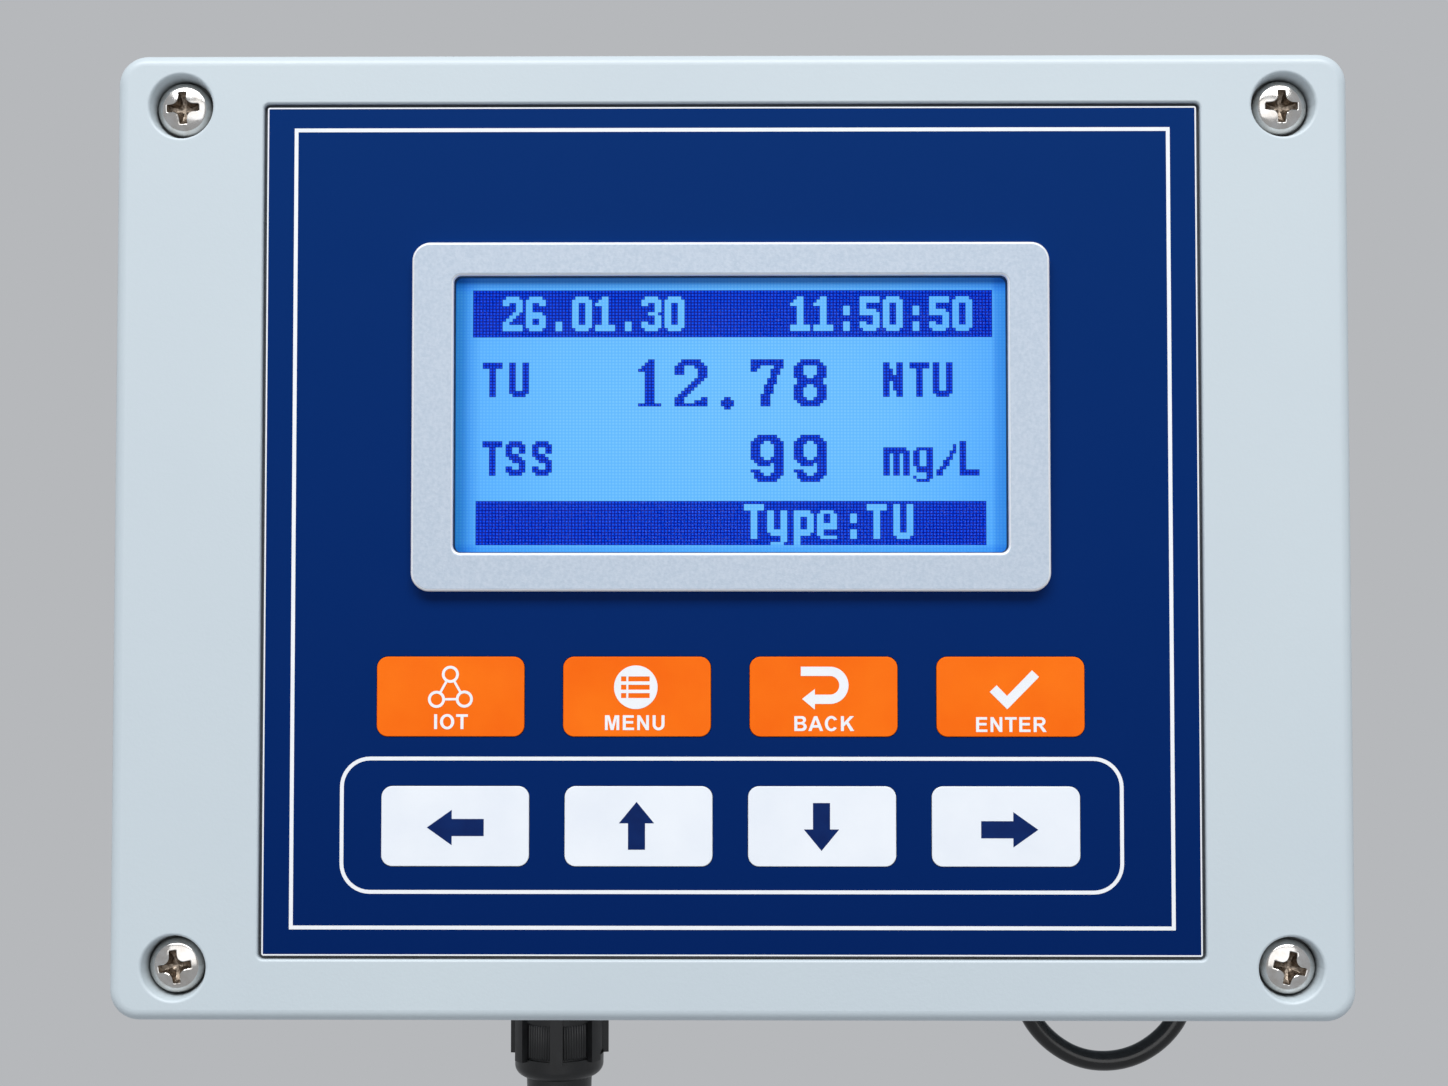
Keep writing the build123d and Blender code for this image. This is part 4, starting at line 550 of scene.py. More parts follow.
def lit_panel(name, dot_edge, dot_middle):
    """A lit finish whose dots are dot_edge at their edges and dot_middle inside, with painted shade at the
    rim.
    """
    finish = finish_of(name, (10, 16, 28), 0.35)
    nodes = finish.node_tree.nodes
    links = finish.node_tree.links
    shader = nodes["Principled BSDF"]
    shader.inputs["Specular IOR Level"].default_value = 0.05
    axes = axes_of(finish)
    lines = []
    for axis, start, pitch in (("X", DISPLAY_LEFT, DOT_WIDE), ("Z", DISPLAY_TOP, DOT_HIGH)):
        wave = worked(finish, "PINGPONG", worked(finish, "SUBTRACT", axes[axis], start), pitch / 2)
        lines.append(faded(finish, wave, pitch * DOT_EDGE_FROM, pitch * DOT_EDGE_TO))
    dot = nodes.new("ShaderNodeMix")
    dot.data_type = "RGBA"
    dot.inputs["A"].default_value = linear(*dot_edge)
    dot.inputs["B"].default_value = linear(*dot_middle)
    links.new(worked(finish, "MULTIPLY", lines[0], lines[1]), dot.inputs["Factor"])
    glow = dot.outputs["Result"]
    # Painted shade: the glow is multiplied down towards the edges of the panel.
    for shade in (along(finish, "X", PANEL_SHADE_ACROSS), along(finish, "Z", PANEL_SHADE_UP)):
        dimmed = nodes.new("ShaderNodeMix")
        dimmed.data_type = "RGBA"
        dimmed.blend_type = "MULTIPLY"
        dimmed.inputs["Factor"].default_value = 1.0
        links.new(glow, dimmed.inputs["A"])
        links.new(shade, dimmed.inputs["B"])
        glow = dimmed.outputs["Result"]
    links.new(glow, shader.inputs["Emission Color"])
    shader.inputs["Emission Strength"].default_value = 1.0
    mottle(finish, (8, 13, 24), (13, 19, 32), 0.004)
    handled(finish, 0.3, 0.4, 0.004)
    grain(finish, 0.0008, 0.000004)
    return finish


# Painted shade on the panel, as factors on the glow from left to right and from bottom to top.
PANEL_SHADE_ACROSS = [(-0.0405, (112, 170, 200)), (-0.0396, (122, 178, 214)), (-0.0388, (168, 208, 240)),
                (-0.0370, (222, 240, 254)), (-0.0250, (246, 252, 255)), (0.0, (255, 255, 255)),
                (0.0240, (248, 252, 255)), (0.0340, (224, 240, 254)), (0.0384, (208, 232, 252)),
                (0.0391, (160, 202, 240)), (0.0403, (140, 190, 230))]
PANEL_SHADE_UP = [(FACE_CENTRE_Z - 0.0028, (166, 216, 248)), (FACE_CENTRE_Z - 0.0020, (196, 228, 252)),
            (FACE_CENTRE_Z - 0.0012, (240, 250, 255)), (FACE_CENTRE_Z + 0.0170, (255, 255, 255)),
            (FACE_CENTRE_Z + 0.0355, (248, 252, 255)), (FACE_CENTRE_Z + 0.0363, (214, 232, 250)),
            (FACE_CENTRE_Z + 0.0370, (166, 192, 220)), (FACE_CENTRE_Z + 0.0374, (104, 128, 160))]
lit_ground = lit_panel("lit_ground", (102, 187, 253), (126, 202, 255))
dress(lit_ground, "lcd_glass")

# The dark dots of the display spell the date, the time and the two readings. Each letter below is
# drawn as it is on the panel, one character for each dot.
letters = {
    "0": ".####. ###### ##..## ##..## ##..## ##..## ##..## ##..## ##..## ###### .####.",
    "1": "..##.. .###.. ####.. ..##.. ..##.. ..##.. ..##.. ..##.. ..##.. ###### ######",
    "2": ".####. ###### ##..## ....## ....## ...##. ..##.. .##... ##.... ###### ######",
    "3": ".####. ###### ##..## ....## ....## ..###. ....## ....## ##..## ###### .####.",
    "5": "###### ###### ##.... ##.... #####. ###### ....## ....## ##..## ###### .####.",
    "6": ".####. ###### ##..## ##.... ##.... #####. ###### ##..## ##..## ###### .####.",
    ".": "..##.. ..##.. ..##..",
    ":": "..##.. ..##.. ..##.. ...... ...... ..##.. ..##.. ..##..",
    "T": "###### ###### ..##.. ..##.. ..##.. ..##.. ..##.. ..##.. ..##.. ..##.. ..##..",
    "U": "##..## ##..## ##..## ##..## ##..## ##..## ##..## ##..## ##..## ###### .####.",
    "N": "##..## ##..## ###.## ###.## ###### ###### ##.### ##.### ##.### ##..## ##..##",
    "S": ".####. ###### ##..## ##..## ####.. .####. ..#### ....## ##..## ###### .####.",
    "L": "##.... ##.... ##.... ##.... ##.... ##.... ##.... ##.... ##.... ###### ######",
    "/": ".....# .....# ....## ....#. ...##. ..##.. ..##.. .##... ##.... ##....",
    "m": "#######. ######## ##.##.## ##.##.## ##.##.## ##.##.## ##.##.## ##.##.## ##.##.##",
    "e": ".####. ##..## ##..## ##..## ###### ###### ##.... ##.... .#####",
    "g": ".##### ##..## ##..## ##..## ##..## ##..## .##### .##### ....## #...## .####.",
    "y": "##..## ##..## ##..## ##..## ##..## ##..## ###### .##### ....## ....## .####.",
    "p": "#####. ###### ##..## ##..## ##..## ##..## ###### #####. ##.... ##.... ##....",
}
big_figures = {
    "1": "...##.. ..###.. .####.. #####.. ..###.. ..###.. ..###.. ..###.. ..###.. ..###.. ..###.."
         " ..###.. ..###.. ..###.. #######",
    "2": "..######.. .########. ###...#### ###....### ###....### .......### ......###. .....###.."
         " ....###... ...###.... ..###..... .###...... ###.....## ###...#### ##########",
    ".": ".##. #### #### .##.",
    "7": "########## ########## ###....### ##....###. ......###. ......##.. .....###.. .....###.."
         " ....###... ....###... ....###... ...###.... ...###.... ...###.... ...###....",
    "8": "..######.. .########. ###....### ###....### ###....### ####..#### .########. .########."
         " ####..#### ###....### ###....### ###....### ####..#### .########. ..######..",
    "9": "..######.. .########. ####..#### ###....### ###....### ###....### ###....### ####..####"
         " .######### ..####.### .......### ###....### .###..#### .########. ..######..",
}
# Each line is the text, its letters, the first column, the columns from letter to letter, and the
# row that the letters stand on.
light_text = set()
dark_text = set()
screen_lines = [
    ("26.01.30", letters, 9, 7.0, 13, light_text),
    ("11:50:50", letters, 96, 7.0, 13, light_text),
    ("TU", letters, 3, 8.0, 34, dark_text),
    ("NTU", letters, 124, 7.7, 34, dark_text),
    ("TSS", letters, 3, 7.3, 59, dark_text),
    ("m", letters, 124, 8.0, 59, dark_text),
    ("g/L", letters, 133, 7.2, 59, dark_text),
    ("Type:TU", letters, 82, 7.45, 79, light_text),
    ("1", big_figures, 50, 1.0, 37, dark_text),
    ("2", big_figures, 61, 1.0, 37, dark_text),
    (".", big_figures, 75, 1.0, 38, dark_text),
    ("78", big_figures, 84, 13.0, 37, dark_text),
    ("99", big_figures, 84, 13.0, 61, dark_text),
]
for text, drawn, first, advance, stand, dots in screen_lines:
    for place, letter in enumerate(text):
        rows = drawn[letter].split()
        foot = stand + (2 if letter in "gyp" else 0)
        for row, line in enumerate(rows):
            for column, mark in enumerate(line):
                if mark == "#":
                    dots.add((first + round(place * advance) + column, foot - len(rows) + row))
for bar_first, bar_last, bar_top, bar_foot in ((0, 157, 0, 15), (1, 155, 67, 81)):
    for column in range(bar_first, bar_last):
        for row in range(bar_top, bar_foot):
            if (column, row) not in light_text:
                dark_text.add((column, row))
dot_corners = []
dot_faces = []
for column, row in sorted(dark_text):
    left = DISPLAY_LEFT + column * DOT_WIDE
    top = DISPLAY_TOP - row * DOT_HIGH
    first = len(dot_corners)
    dot_corners += [(left, DOTS_Y, top), (left, DOTS_Y, top - DOT_HIGH),
                    (left + DOT_WIDE, DOTS_Y, top - DOT_HIGH), (left + DOT_WIDE, DOTS_Y, top)]
    dot_faces.append((first, first + 1, first + 2, first + 3))
lit_dots = lit_panel("lit_dots", (0, 8, 142), (2, 80, 240))
display_dots = meshed("display_dots", dot_corners, dot_faces, lit_dots)
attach(display_dots, "root")

# The display window keeps dust off the display. It is a clear polished acrylic plate, glued behind
# the bezel.
clear_acrylic = finish_of("clear_acrylic", (250, 252, 255), 0.03)
acrylic_shader = clear_acrylic.node_tree.nodes["Principled BSDF"]
acrylic_shader.inputs["Transmission Weight"].default_value = 1.0
acrylic_shader.inputs["IOR"].default_value = 1.0
grain(clear_acrylic, 0.02, 0.000002, 1)
dress(clear_acrylic, "display_window")

# A thin dark navy sheet lines the opening of the bezel down to the window. It is painted shade: it
# stands for the shade on the inner walls of the opening.
VIEW_X = -0.0001
VIEW_Z = 0.01745 + FACE_CENTRE_Z
shade_sheet_finish = finish_of("shade_sheet_finish", (12, 24, 52), 0.5)
mottle(shade_sheet_finish, (9, 19, 44), (16, 30, 60), 0.002)
handled(shade_sheet_finish, 0.42, 0.58, 0.002)
grain(shade_sheet_finish, 0.0004, 0.00001)


def outline(centre_x, centre_z, width, height, radius):
    """The corner points of a rounded rectangle in face millimetres."""
    steps = 10 if radius > 0 else 0
    points = []
    for turn, (side_x, side_z) in enumerate(((1, 1), (-1, 1), (-1, -1), (1, -1))):
        hub_x = centre_x + side_x * (width / 2 - radius)
        hub_z = centre_z + side_z * (height / 2 - radius)
        for step in range(steps + 1):
            angle = math.radians(90 * (turn + step / max(steps, 1)))
            points.append((hub_x + radius * math.cos(angle), hub_z + radius * math.sin(angle)))
    return points


shade_sheet_corners = []
shade_sheet_faces = []
shade_sheet_outer = outline(-0.1, 17.45, 80.78, 40.48, 1.09)
shade_sheet_inner = outline(-0.1, 17.45, 80.6, 40.3, 1.0)
shade_sheet_rings = ((shade_sheet_outer, 0.68), (shade_sheet_outer, -0.62), (shade_sheet_inner, -0.56), (shade_sheet_inner, 0.68))
for line, depth in shade_sheet_rings:
    shade_sheet_corners += [(x / 1000, FRONT_Y + depth / 1000, FACE_CENTRE_Z + z / 1000) for x, z in line]
around = len(shade_sheet_outer)
for level in range(len(shade_sheet_rings)):
    above = (level + 1) % len(shade_sheet_rings)
    for step in range(around):
        after = (step + 1) % around
        shade_sheet_faces.append((level * around + step, above * around + step, above * around + after,
                           level * around + after))
# Painted shade: this dark sheet lies where the inner walls of the opening are in shade.
painted_shade_sheet = meshed("painted_shade_sheet", shade_sheet_corners, shade_sheet_faces, shade_sheet_finish)
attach(painted_shade_sheet, "root")

# The display bezel is an ABS frame painted silver, with a fine leather-like grain in the paint. A
# painted highlight, almost white, runs along its two rounded edges.
BEZEL_X = -0.0001
BEZEL_Z = 0.0171 + FACE_CENTRE_Z
silver_paint = finish_of("silver_paint", (179, 191, 207), 0.4, 0.15)
mottle(silver_paint, (173, 187, 203), (187, 198, 212), 0.00045, 4)
handled(silver_paint, 0.34, 0.46, 0.0006)
grain(silver_paint, 0.00032, 0.000016, 4, (1, 1, 1.6))


def inside_rim(finish, centre_x, centre_z, half_x, half_z, radius):
    """How far a point lies inside the outline of a rounded rectangle, in metres."""
    axes = axes_of(finish)
    reach = []
    for axis, centre, half in (("X", centre_x, half_x), ("Z", centre_z, half_z)):
        offset = worked(finish, "ABSOLUTE", worked(finish, "SUBTRACT", axes[axis], centre))
        reach.append(worked(finish, "SUBTRACT", offset, half - radius))
    past = [worked(finish, "MAXIMUM", value, 0.0) for value in reach]
    squares = [worked(finish, "MULTIPLY", value, value) for value in past]
    corner = worked(finish, "SQRT", worked(finish, "ADD", squares[0], squares[1]))
    flat = worked(finish, "MINIMUM", worked(finish, "MAXIMUM", reach[0], reach[1]), 0.0)
    return worked(finish, "SUBTRACT", radius, worked(finish, "ADD", corner, flat))


# Painted highlight: a near-white band along the outer and the inner rounded edge of the bezel.
outer_rim = inside_rim(silver_paint, BEZEL_X, BEZEL_Z, 0.0465, 0.0255, 0.0027)
inner_rim = inside_rim(silver_paint, VIEW_X, VIEW_Z, 0.0404, 0.02025, 0.0011)
painted_highlight_outer = faded(silver_paint, outer_rim, 0.00042, 0.00026)
painted_highlight_inner = faded(silver_paint, inner_rim, -0.00032, -0.0002)
painted_highlight_rims = worked(silver_paint, "MAXIMUM", painted_highlight_outer, painted_highlight_inner)
tinted(silver_paint, worked(silver_paint, "MULTIPLY", painted_highlight_rims, 0.85), (252, 253, 255))
dress(silver_paint, "display_bezel")

# The front overlay is a deep blue polycarbonate sheet, glued into the recess of the cover. It is
# printed from behind, so its face keeps a fine velvet texture.
OVERLAY_FRONT_Y = FRONT_Y + 0.00035
overlay_blue = finish_of("overlay_blue", (1, 41, 105), 0.4)
overlay_shader = overlay_blue.node_tree.nodes["Principled BSDF"]
overlay_shader.inputs["Specular IOR Level"].default_value = 0.03
# Painted shading: the blue is lighter at the top of the overlay and darker towards its bottom.
OVERLAY_SHADED_BLUES = [(FACE_CENTRE_Z - 0.062, (0, 34, 95)), (FACE_CENTRE_Z - 0.034, (0, 37, 100)),
                 (FACE_CENTRE_Z + 0.008, (0, 41, 106)), (FACE_CENTRE_Z + 0.062, (2, 46, 111))]
blue_painted_shading = along(overlay_blue, "Z", OVERLAY_SHADED_BLUES)
overlay_blue.node_tree.links.new(blue_painted_shading, overlay_shader.inputs["Base Color"])
handled(overlay_blue, 0.36, 0.46, 0.01)
grain(overlay_blue, 0.0003, 0.000008)
dress(overlay_blue, "front_overlay")

# The white ink of the overlay is a thin screen print: a square line near the edge and a rounded
# line round the arrow keys.
white_ink = finish_of("white_ink", (240, 243, 248), 0.4)
mottle(white_ink, (236, 240, 246), (244, 246, 250), 0.004)
handled(white_ink, 0.36, 0.46, 0.004)
grain(white_ink, 0.0003, 0.000004)


def disc(centre_x, centre_z, radius):
    """The points of a circle in face millimetres."""
    angles = [math.radians(5 * step) for step in range(72)]
    return [(centre_x + radius * math.cos(a), centre_z + radius * math.sin(a)) for a in angles]


def printed(name, shapes, ink, body, y, thickness=0.000012):
    """Ink printed in closed shapes on the front at y. A shape inside another is left open."""
    print_line = bpy.data.curves.new(name, "CURVE")
    print_line.dimensions = "2D"
    print_line.fill_mode = "BOTH"
    print_line.extrude = thickness
    for shape in shapes:
        edge = print_line.splines.new("POLY")
        edge.points.add(len(shape) - 1)
        edge.use_cyclic_u = True
        for point, (x, z) in zip(edge.points, shape):
            point.co = (x / 1000, z / 1000, 0, 1)
    print_line.materials.append(ink)
    piece = bpy.data.objects.new(name, print_line)
    piece.location = (0, y, FACE_CENTRE_Z)
    piece.rotation_euler = (math.radians(90), 0, 0)
    bpy.context.collection.objects.link(piece)
    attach(piece, body)
    return piece


# Each line has its middle, then the width, height and corner of its outer and of its inner edge.
INK_RISE = 0.00001
for name, middle_x, middle_z, outer, inner in (
        ("overlay_edge_line", 0.0, 0.8, (136.46, 124.06, 0.28), (136.06, 123.66, 0.1)),
        ("overlay_border", 0.05, 1.15, (128.62, 117.2, 0), (127.5, 116.08, 0)),
        ("arrow_key_frame", 0.0, -42.36, (113.9, 19.86, 4.4), (112.8, 18.76, 3.85))):
    printed(name, [outline(middle_x, middle_z, *outer), outline(middle_x, middle_z, *inner)],
            white_ink, "root", OVERLAY_FRONT_Y - INK_RISE)

# The orange function keys are moulded silicone with a glossy coat. They come through the overlay,
# and each has its sign and its word printed in white.
KEY_FRONT_Y = FRONT_Y + 0.0002
KEY_INK_Y = KEY_FRONT_Y - INK_RISE
orange_key = finish_of("orange_key", (254, 112, 6), 0.36)
orange_key.node_tree.nodes["Principled BSDF"].inputs["Specular IOR Level"].default_value = 0.08
mottle(orange_key, (250, 106, 4), (255, 118, 12), 0.012)
handled(orange_key, 0.3, 0.42, 0.005)
grain(orange_key, 0.0004, 0.000006)
dress(orange_key, "key_iot", "key_menu", "key_back", "key_enter")


def arc(hub_x, hub_z, radius_x, radius_z, start, end, steps=14):
    """Points along a round stroke, from one bearing in degrees to another."""
    angles = [math.radians(start + (end - start) * step / steps) for step in range(steps + 1)]
    return [(hub_x + radius_x * math.cos(a), hub_z + radius_z * math.sin(a)) for a in angles]


# Each capital is drawn 100 high: how far it is to the next letter, then its closed edges.
capitals = {
    "I": (39, [[(9.5, 0), (29.8, 0), (29.8, 100), (9.5, 100)]]),
    "O": (108.7, [arc(54.4, 50, 48.4, 51.7, 0, 350, 35), arc(54.4, 50, 27.5, 34.5, 0, 350, 35)]),
    "T": (85.3, [[(2.9, 100), (2.9, 83.1), (32.7, 83.1), (32.7, 0), (52.9, 0), (52.9, 83.1),
                  (82.4, 83.1), (82.4, 100)]]),
    "M": (116.4, [[(9.9, 0), (9.9, 100), (40.1, 100), (58.2, 31.8), (76.1, 100), (106.5, 100),
                   (106.5, 0), (87.7, 0), (87.7, 78.7), (67.9, 0), (48.5, 0), (28.6, 78.7), (28.6, 0)]]),
    "E": (93.2, [[(10.2, 0), (10.2, 100), (84.3, 100), (84.3, 83.1), (30.4, 83.1), (30.4, 60.9),
                  (80.6, 60.9), (80.6, 44), (30.4, 44), (30.4, 16.8), (86.2, 16.8), (86.2, 0)]]),
    "N": (100.9, [[(10.4, 0), (10.4, 100), (30.1, 100), (71, 33.2), (71, 100), (89.8, 100), (89.8, 0),
                   (69.5, 0), (29.2, 65.2), (29.2, 0)]]),
    "U": (100.9, [[(10, 100), *arc(50.2, 38, 40.2, 39.7, 180, 360, 20), (90.4, 100), (70.1, 100),
                   *arc(50.2, 38, 19.9, 21, 360, 180, 20), (30.3, 100)]]),
    "B": (100.9, [[(10.2, 0), (10.2, 100), *arc(62, 75.5, 27, 24.5, 90, -62),
                   *arc(62, 27.5, 32, 27.5, 62, -90)],
                  [(30.4, 60.2), (30.4, 83.4), *arc(56, 71.8, 13, 11.6, 90, -90)],
                  [(30.4, 16.7), (30.4, 43.6), *arc(57, 30.15, 16, 13.45, 90, -90)]]),
    "A": (100.9, [[(0, 0), (39, 100), (60.4, 100), (100.3, 0), (78.5, 0), (69.8, 22.7), (29.9, 22.7),
                   (21.7, 0)],
                  [(36.1, 39.6), (49.5, 76.6), (63.3, 39.6)]]),
    "C": (100.9, [[*arc(51, 50, 44.5, 51.7, 30, 325, 30), *arc(51, 50, 24, 34.4, 320, 38, 28)]]),
    "K": (100.9, [[(10.4, 0), (10.4, 100), (30.6, 100), (30.6, 55.6), (71.4, 100), (98.6, 100), (61, 61.1),
                   (100.7, 0), (74.6, 0), (47.1, 47), (30.6, 30.2), (30.6, 0)]]),
    "R": (100.9, [[(10.2, 0), (10.2, 100), *arc(60, 71.2, 30, 28.8, 90, -70), (66, 42), (83.5, 22), (98, 0),
                   (73.9, 0), (57.8, 24), (44.8, 40.5), (34.6, 41.7), (30.4, 41.7), (30.4, 0)],
                  [(30.4, 57.7), (30.4, 83.1), *arc(57, 70.4, 12.8, 12.7, 90, -90)]]),
}
LETTER_GAP = 4.0


def lettered(name, word, x, z, cap_height, body):
    """A word printed in bold white capitals, centred on x and standing on z."""
    edges = []
    reached = 0.0
    for capital in word:
        advance, shapes = capitals[capital]
        edges += [[(reached + a, b) for a, b in shape] for shape in shapes]
        reached += advance + LETTER_GAP
    across = [a for shape in edges for a, _ in shape]
    middle = (min(across) + max(across)) / 2
    step = cap_height / 100
    shapes = [[(x + (a - middle) * step, z + b * step) for a, b in shape] for shape in edges]
    return printed(name, shapes, white_ink, body, KEY_INK_Y)


ring_places = [(-40.92, -20.46), (-42.93, -24.10), (-38.87, -24.06)]
RING_OUTER = 1.24
RING_INNER = 0.84
ARM_START = 1.1
ARM_HALF = 0.17
ring_shapes = []
for ring_x, ring_z in ring_places:
    ring_shapes += [disc(ring_x, ring_z, RING_OUTER), disc(ring_x, ring_z, RING_INNER)]
printed("iot_rings", ring_shapes, white_ink, "key_iot", KEY_FRONT_Y - 0.000012)
arm_shapes = []
for one, other in ((0, 1), (1, 2), (2, 0)):
    run = Vector(ring_places[other]) - Vector(ring_places[one])
    way = run.normalized()
    aside = Vector((-way.y, way.x)) * ARM_HALF
    start = Vector(ring_places[one]) + way * ARM_START
    end = Vector(ring_places[other]) - way * ARM_START
    arm_shapes.append([tuple(start + aside), tuple(end + aside), tuple(end - aside), tuple(start - aside)])
printed("iot_arms", arm_shapes, white_ink, "key_iot", KEY_FRONT_Y - 0.000008)

BAR_HALF = 0.36
list_shapes = [disc(-13.89, -22.33, 3.17)]
for bar_z in (-21.12, -22.33, -23.54):
    for bar_left, bar_right in ((-16.04, -15.27), (-14.98, -11.87)):
        list_shapes.append([(bar_left, bar_z + BAR_HALF), (bar_left, bar_z - BAR_HALF),
                            (bar_right, bar_z - BAR_HALF), (bar_right, bar_z + BAR_HALF)])
printed("menu_list", list_shapes, white_ink, "key_menu", KEY_INK_Y)

HOOK_X = 14.36
HOOK_Z = -22.04
bend = [math.radians(90 - 6 * step) for step in range(31)]
back_shape = [(10.12, -20.68), (10.12, -19.34)]
back_shape += [(HOOK_X + 2.7 * math.cos(a), HOOK_Z + 2.7 * math.sin(a)) for a in bend]
back_shape += [(12.16, -24.74), (12.16, -25.57), (10.3, -24.02), (12.16, -22.58), (12.16, -23.4)]
back_shape += [(HOOK_X + 1.36 * math.cos(a), HOOK_Z + 1.36 * math.sin(a)) for a in reversed(bend)]
printed("back_turn", [back_shape], white_ink, "key_back", KEY_INK_Y)

printed("enter_tick", [[(38.59, -22.03), (40.09, -23.58), (43.74, -19.85), (44.75, -20.82), (40.12, -25.51),
                        (37.57, -22.99)]],
        white_ink, "key_enter", KEY_INK_Y)
CAP_HEIGHT = 2.15
for word, x, z in (("IOT", -40.8, -28.42), ("MENU", -14.04, -28.55), ("BACK", 13.53, -28.67),
                   ("ENTER", 40.7, -28.8)):
    lettered("word_" + word.lower(), word, x, z, CAP_HEIGHT, "key_" + word.lower())

# The white arrow keys are the same silicone mouldings in white, each with a navy arrow.
white_key = finish_of("white_key", (236, 242, 250), 0.34)
mottle(white_key, (233, 239, 248), (240, 245, 252), 0.01)
handled(white_key, 0.28, 0.4, 0.005)
grain(white_key, 0.0004, 0.000006)
dress(white_key, "key_left", "key_up", "key_down", "key_right")
navy_ink = finish_of("navy_ink", (2, 30, 96), 0.36)
navy_ink.node_tree.nodes["Principled BSDF"].inputs["Specular IOR Level"].default_value = 0.08
mottle(navy_ink, (2, 31, 88), (4, 38, 98), 0.003)
handled(navy_ink, 0.32, 0.42, 0.003)
grain(navy_ink, 0.0003, 0.000004)
HEAD_HALF = 2.56
SHAFT_HALF = 1.24
for name, x, z, turn, length, head in (
        ("left", -44.25, -42.68, 180, 8.28, 3.62), ("up", -13.76, -38.95, 90, 6.92, 3.1),
        ("down", 13.1, -46.02, 270, 6.92, 3.1), ("right", 44.53, -42.94, 0, 8.28, 3.62)):
    flat = [(0, 0), (-head, HEAD_HALF), (-head, SHAFT_HALF), (-length, SHAFT_HALF),
            (-length, -SHAFT_HALF), (-head, -SHAFT_HALF), (-head, -HEAD_HALF)]
    cos_turn = math.cos(math.radians(turn))
    sin_turn = math.sin(math.radians(turn))
    turned = [(x + a * cos_turn - b * sin_turn, z + a * sin_turn + b * cos_turn) for a, b in flat]
    printed("arrow_" + name, [turned], navy_ink, "key_" + name, KEY_INK_Y)

# The floor is a plain pale sheet well below the meter, which hangs from its rail in the air. The
# floor takes the colour of the air behind it, so no edge shows.
BACKDROP = (182, 184, 187)
FLOOR_Z = -0.62
FLOOR_HALF = 30
FADE_FROM = 0.8
FADE_TO = 1.7
floor_paper = finish_of("floor_paper", BACKDROP, 0.9)
floor_nodes = floor_paper.node_tree.nodes
floor_links = floor_paper.node_tree.links
far_colour = floor_nodes.new("ShaderNodeEmission")
far_colour.inputs["Color"].default_value = linear(*BACKDROP)
floor_place = floor_nodes.new("ShaderNodeTexCoord")
floor_reach = floor_nodes.new("ShaderNodeVectorMath")
floor_reach.operation = "LENGTH"
floor_links.new(floor_place.outputs["Object"], floor_reach.inputs[0])
far_off = faded(floor_paper, floor_reach.outputs["Value"], FADE_FROM, FADE_TO)
seen = floor_nodes.new("ShaderNodeLightPath").outputs
mirrored = worked(floor_paper, "MAXIMUM", seen["Is Glossy Ray"], seen["Is Transmission Ray"])
joined = floor_nodes.new("ShaderNodeMixShader")
floor_links.new(worked(floor_paper, "MAXIMUM", mirrored, far_off), joined.inputs["Fac"])
floor_links.new(floor_nodes["Principled BSDF"].outputs["BSDF"], joined.inputs[1])
floor_links.new(far_colour.outputs["Emission"], joined.inputs[2])
floor_links.new(joined.outputs["Shader"], floor_nodes["Material Output"].inputs["Surface"])
floor_corners = [(-FLOOR_HALF, -FLOOR_HALF, FLOOR_Z), (FLOOR_HALF, -FLOOR_HALF, FLOOR_Z),
                 (FLOOR_HALF, FLOOR_HALF, FLOOR_Z), (-FLOOR_HALF, FLOOR_HALF, FLOOR_Z)]
floor = meshed("floor", floor_corners, [(0, 1, 2, 3)], floor_paper)

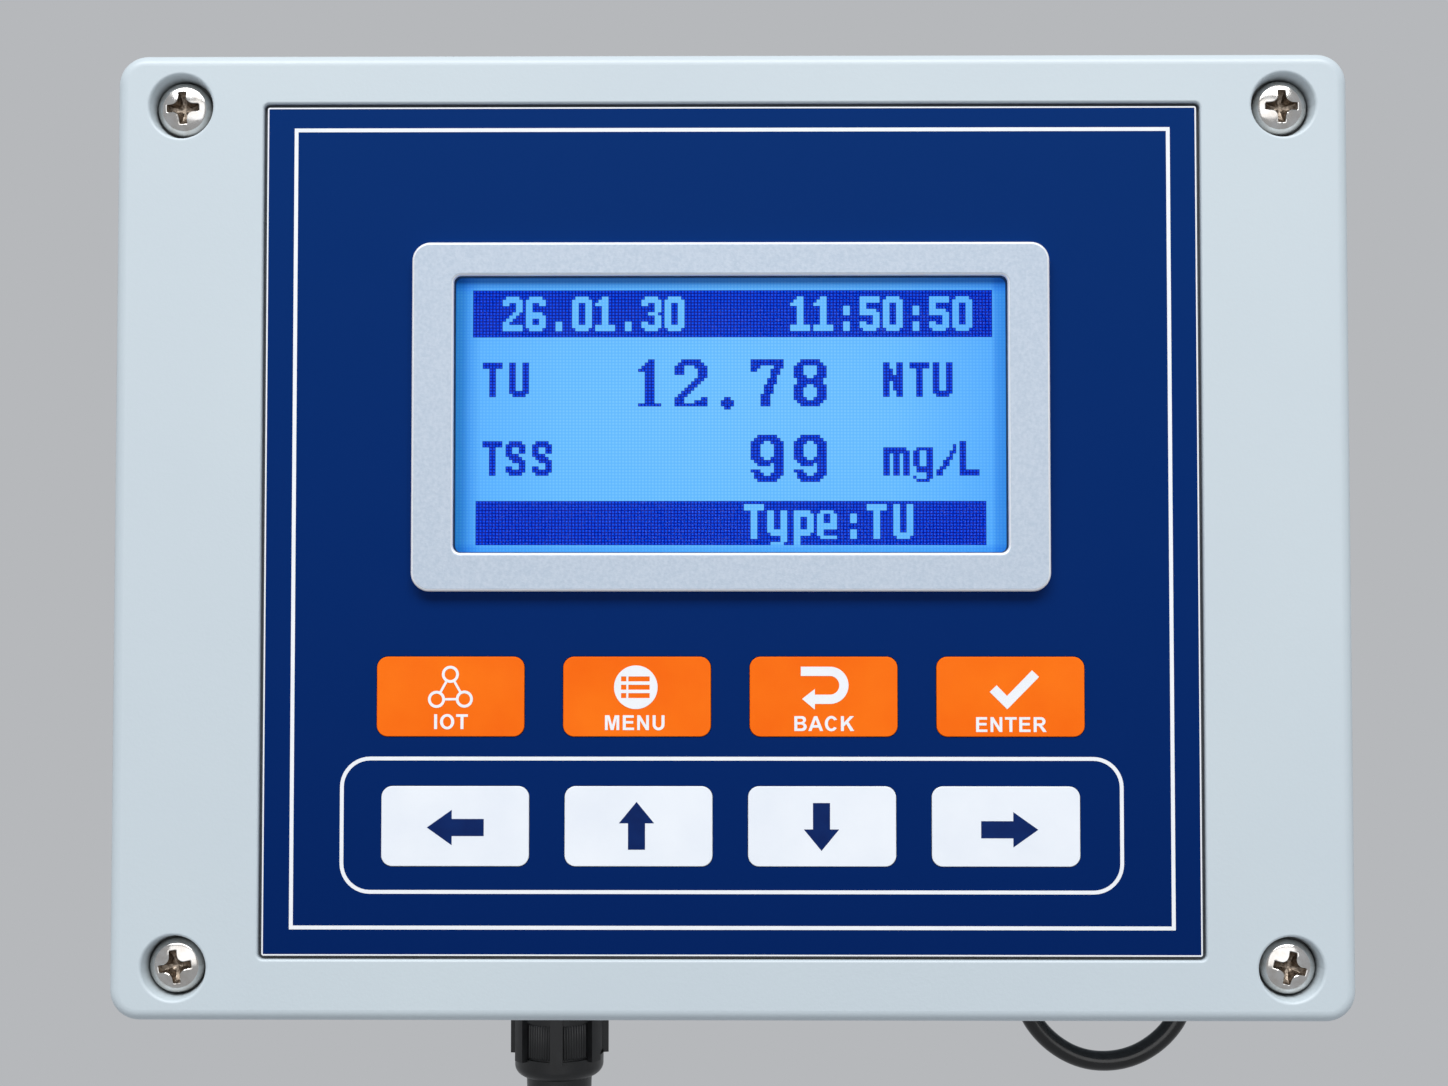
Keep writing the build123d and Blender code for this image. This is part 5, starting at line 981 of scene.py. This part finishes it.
# Soft studio light: one wide lamp high in front, an even pale sky, and a broad panel behind the
# camera that only shows as a gleam in metal and gloss.
studio = bpy.data.worlds.new("studio")
studio.use_nodes = True
bpy.context.scene.world = studio
sky_nodes = studio.node_tree.nodes
sky_links = studio.node_tree.links
sky = sky_nodes["Background"]
sky.inputs["Color"].default_value = (0.96, 0.98, 1.0, 1.0)
sky.inputs["Strength"].default_value = 0.37
backdrop_sky = sky_nodes.new("ShaderNodeBackground")
backdrop_sky.inputs["Color"].default_value = linear(*BACKDROP)
sky_seen = sky_nodes.new("ShaderNodeLightPath").outputs
sky_mirrored = worked(studio, "MAXIMUM", sky_seen["Is Glossy Ray"], sky_seen["Is Transmission Ray"])
sky_shown = worked(studio, "MAXIMUM", sky_seen["Is Camera Ray"], sky_mirrored)
sky_joined = sky_nodes.new("ShaderNodeMixShader")
sky_links.new(sky_shown, sky_joined.inputs["Fac"])
sky_links.new(sky.outputs["Background"], sky_joined.inputs[1])
sky_links.new(backdrop_sky.outputs["Background"], sky_joined.inputs[2])
sky_links.new(sky_joined.outputs["Shader"], sky_nodes["World Output"].inputs["Surface"])

for lamp_name, place, wide, high, power, lights_plastic in (
    ("overhead", (-0.1, -1.5, 1.9), 3.0, 0.9, 70.0, True),
    ("metal_softbox", (0.0, -2.1, 0.4), 2.6, 1.6, 16.0, False),
):
    lamp_data = bpy.data.lights.new(lamp_name, "AREA")
    lamp_data.shape = "RECTANGLE"
    lamp_data.size = wide
    lamp_data.size_y = high
    lamp_data.energy = power
    lamp = bpy.data.objects.new(lamp_name, lamp_data)
    lamp.visible_camera = False
    lamp.visible_diffuse = lights_plastic
    lamp.location = place
    aim = Vector((0, -0.04, FACE_CENTRE_Z)) - Vector(place)
    lamp.rotation_euler = aim.to_track_quat("-Z", "Y").to_euler()
    bpy.context.collection.objects.link(lamp)

# The camera stands a quarter of a metre in front of the meter, a little below its display, and
# looks up by less than two degrees.
CAMERA_ASIDE = 0.00048
CAMERA_BACK = 0.24933
CAMERA_BELOW = 0.00871
CAMERA_TILT = math.radians(91.695)
CAMERA_TURN = math.radians(0.352)
lens = bpy.data.cameras.new("view")
lens.sensor_width = 36.0
lens.lens = 42.54
lens.clip_start = 0.01
lens.clip_end = 100.0
camera = bpy.data.objects.new("view", lens)
camera.location = (CAMERA_ASIDE, FRONT_Y - CAMERA_BACK, FACE_CENTRE_Z - CAMERA_BELOW)
camera.rotation_euler = (CAMERA_TILT, 0.0, CAMERA_TURN)
bpy.context.collection.objects.link(camera)
bpy.context.scene.camera = camera
bpy.context.scene.view_settings.view_transform = "Standard"
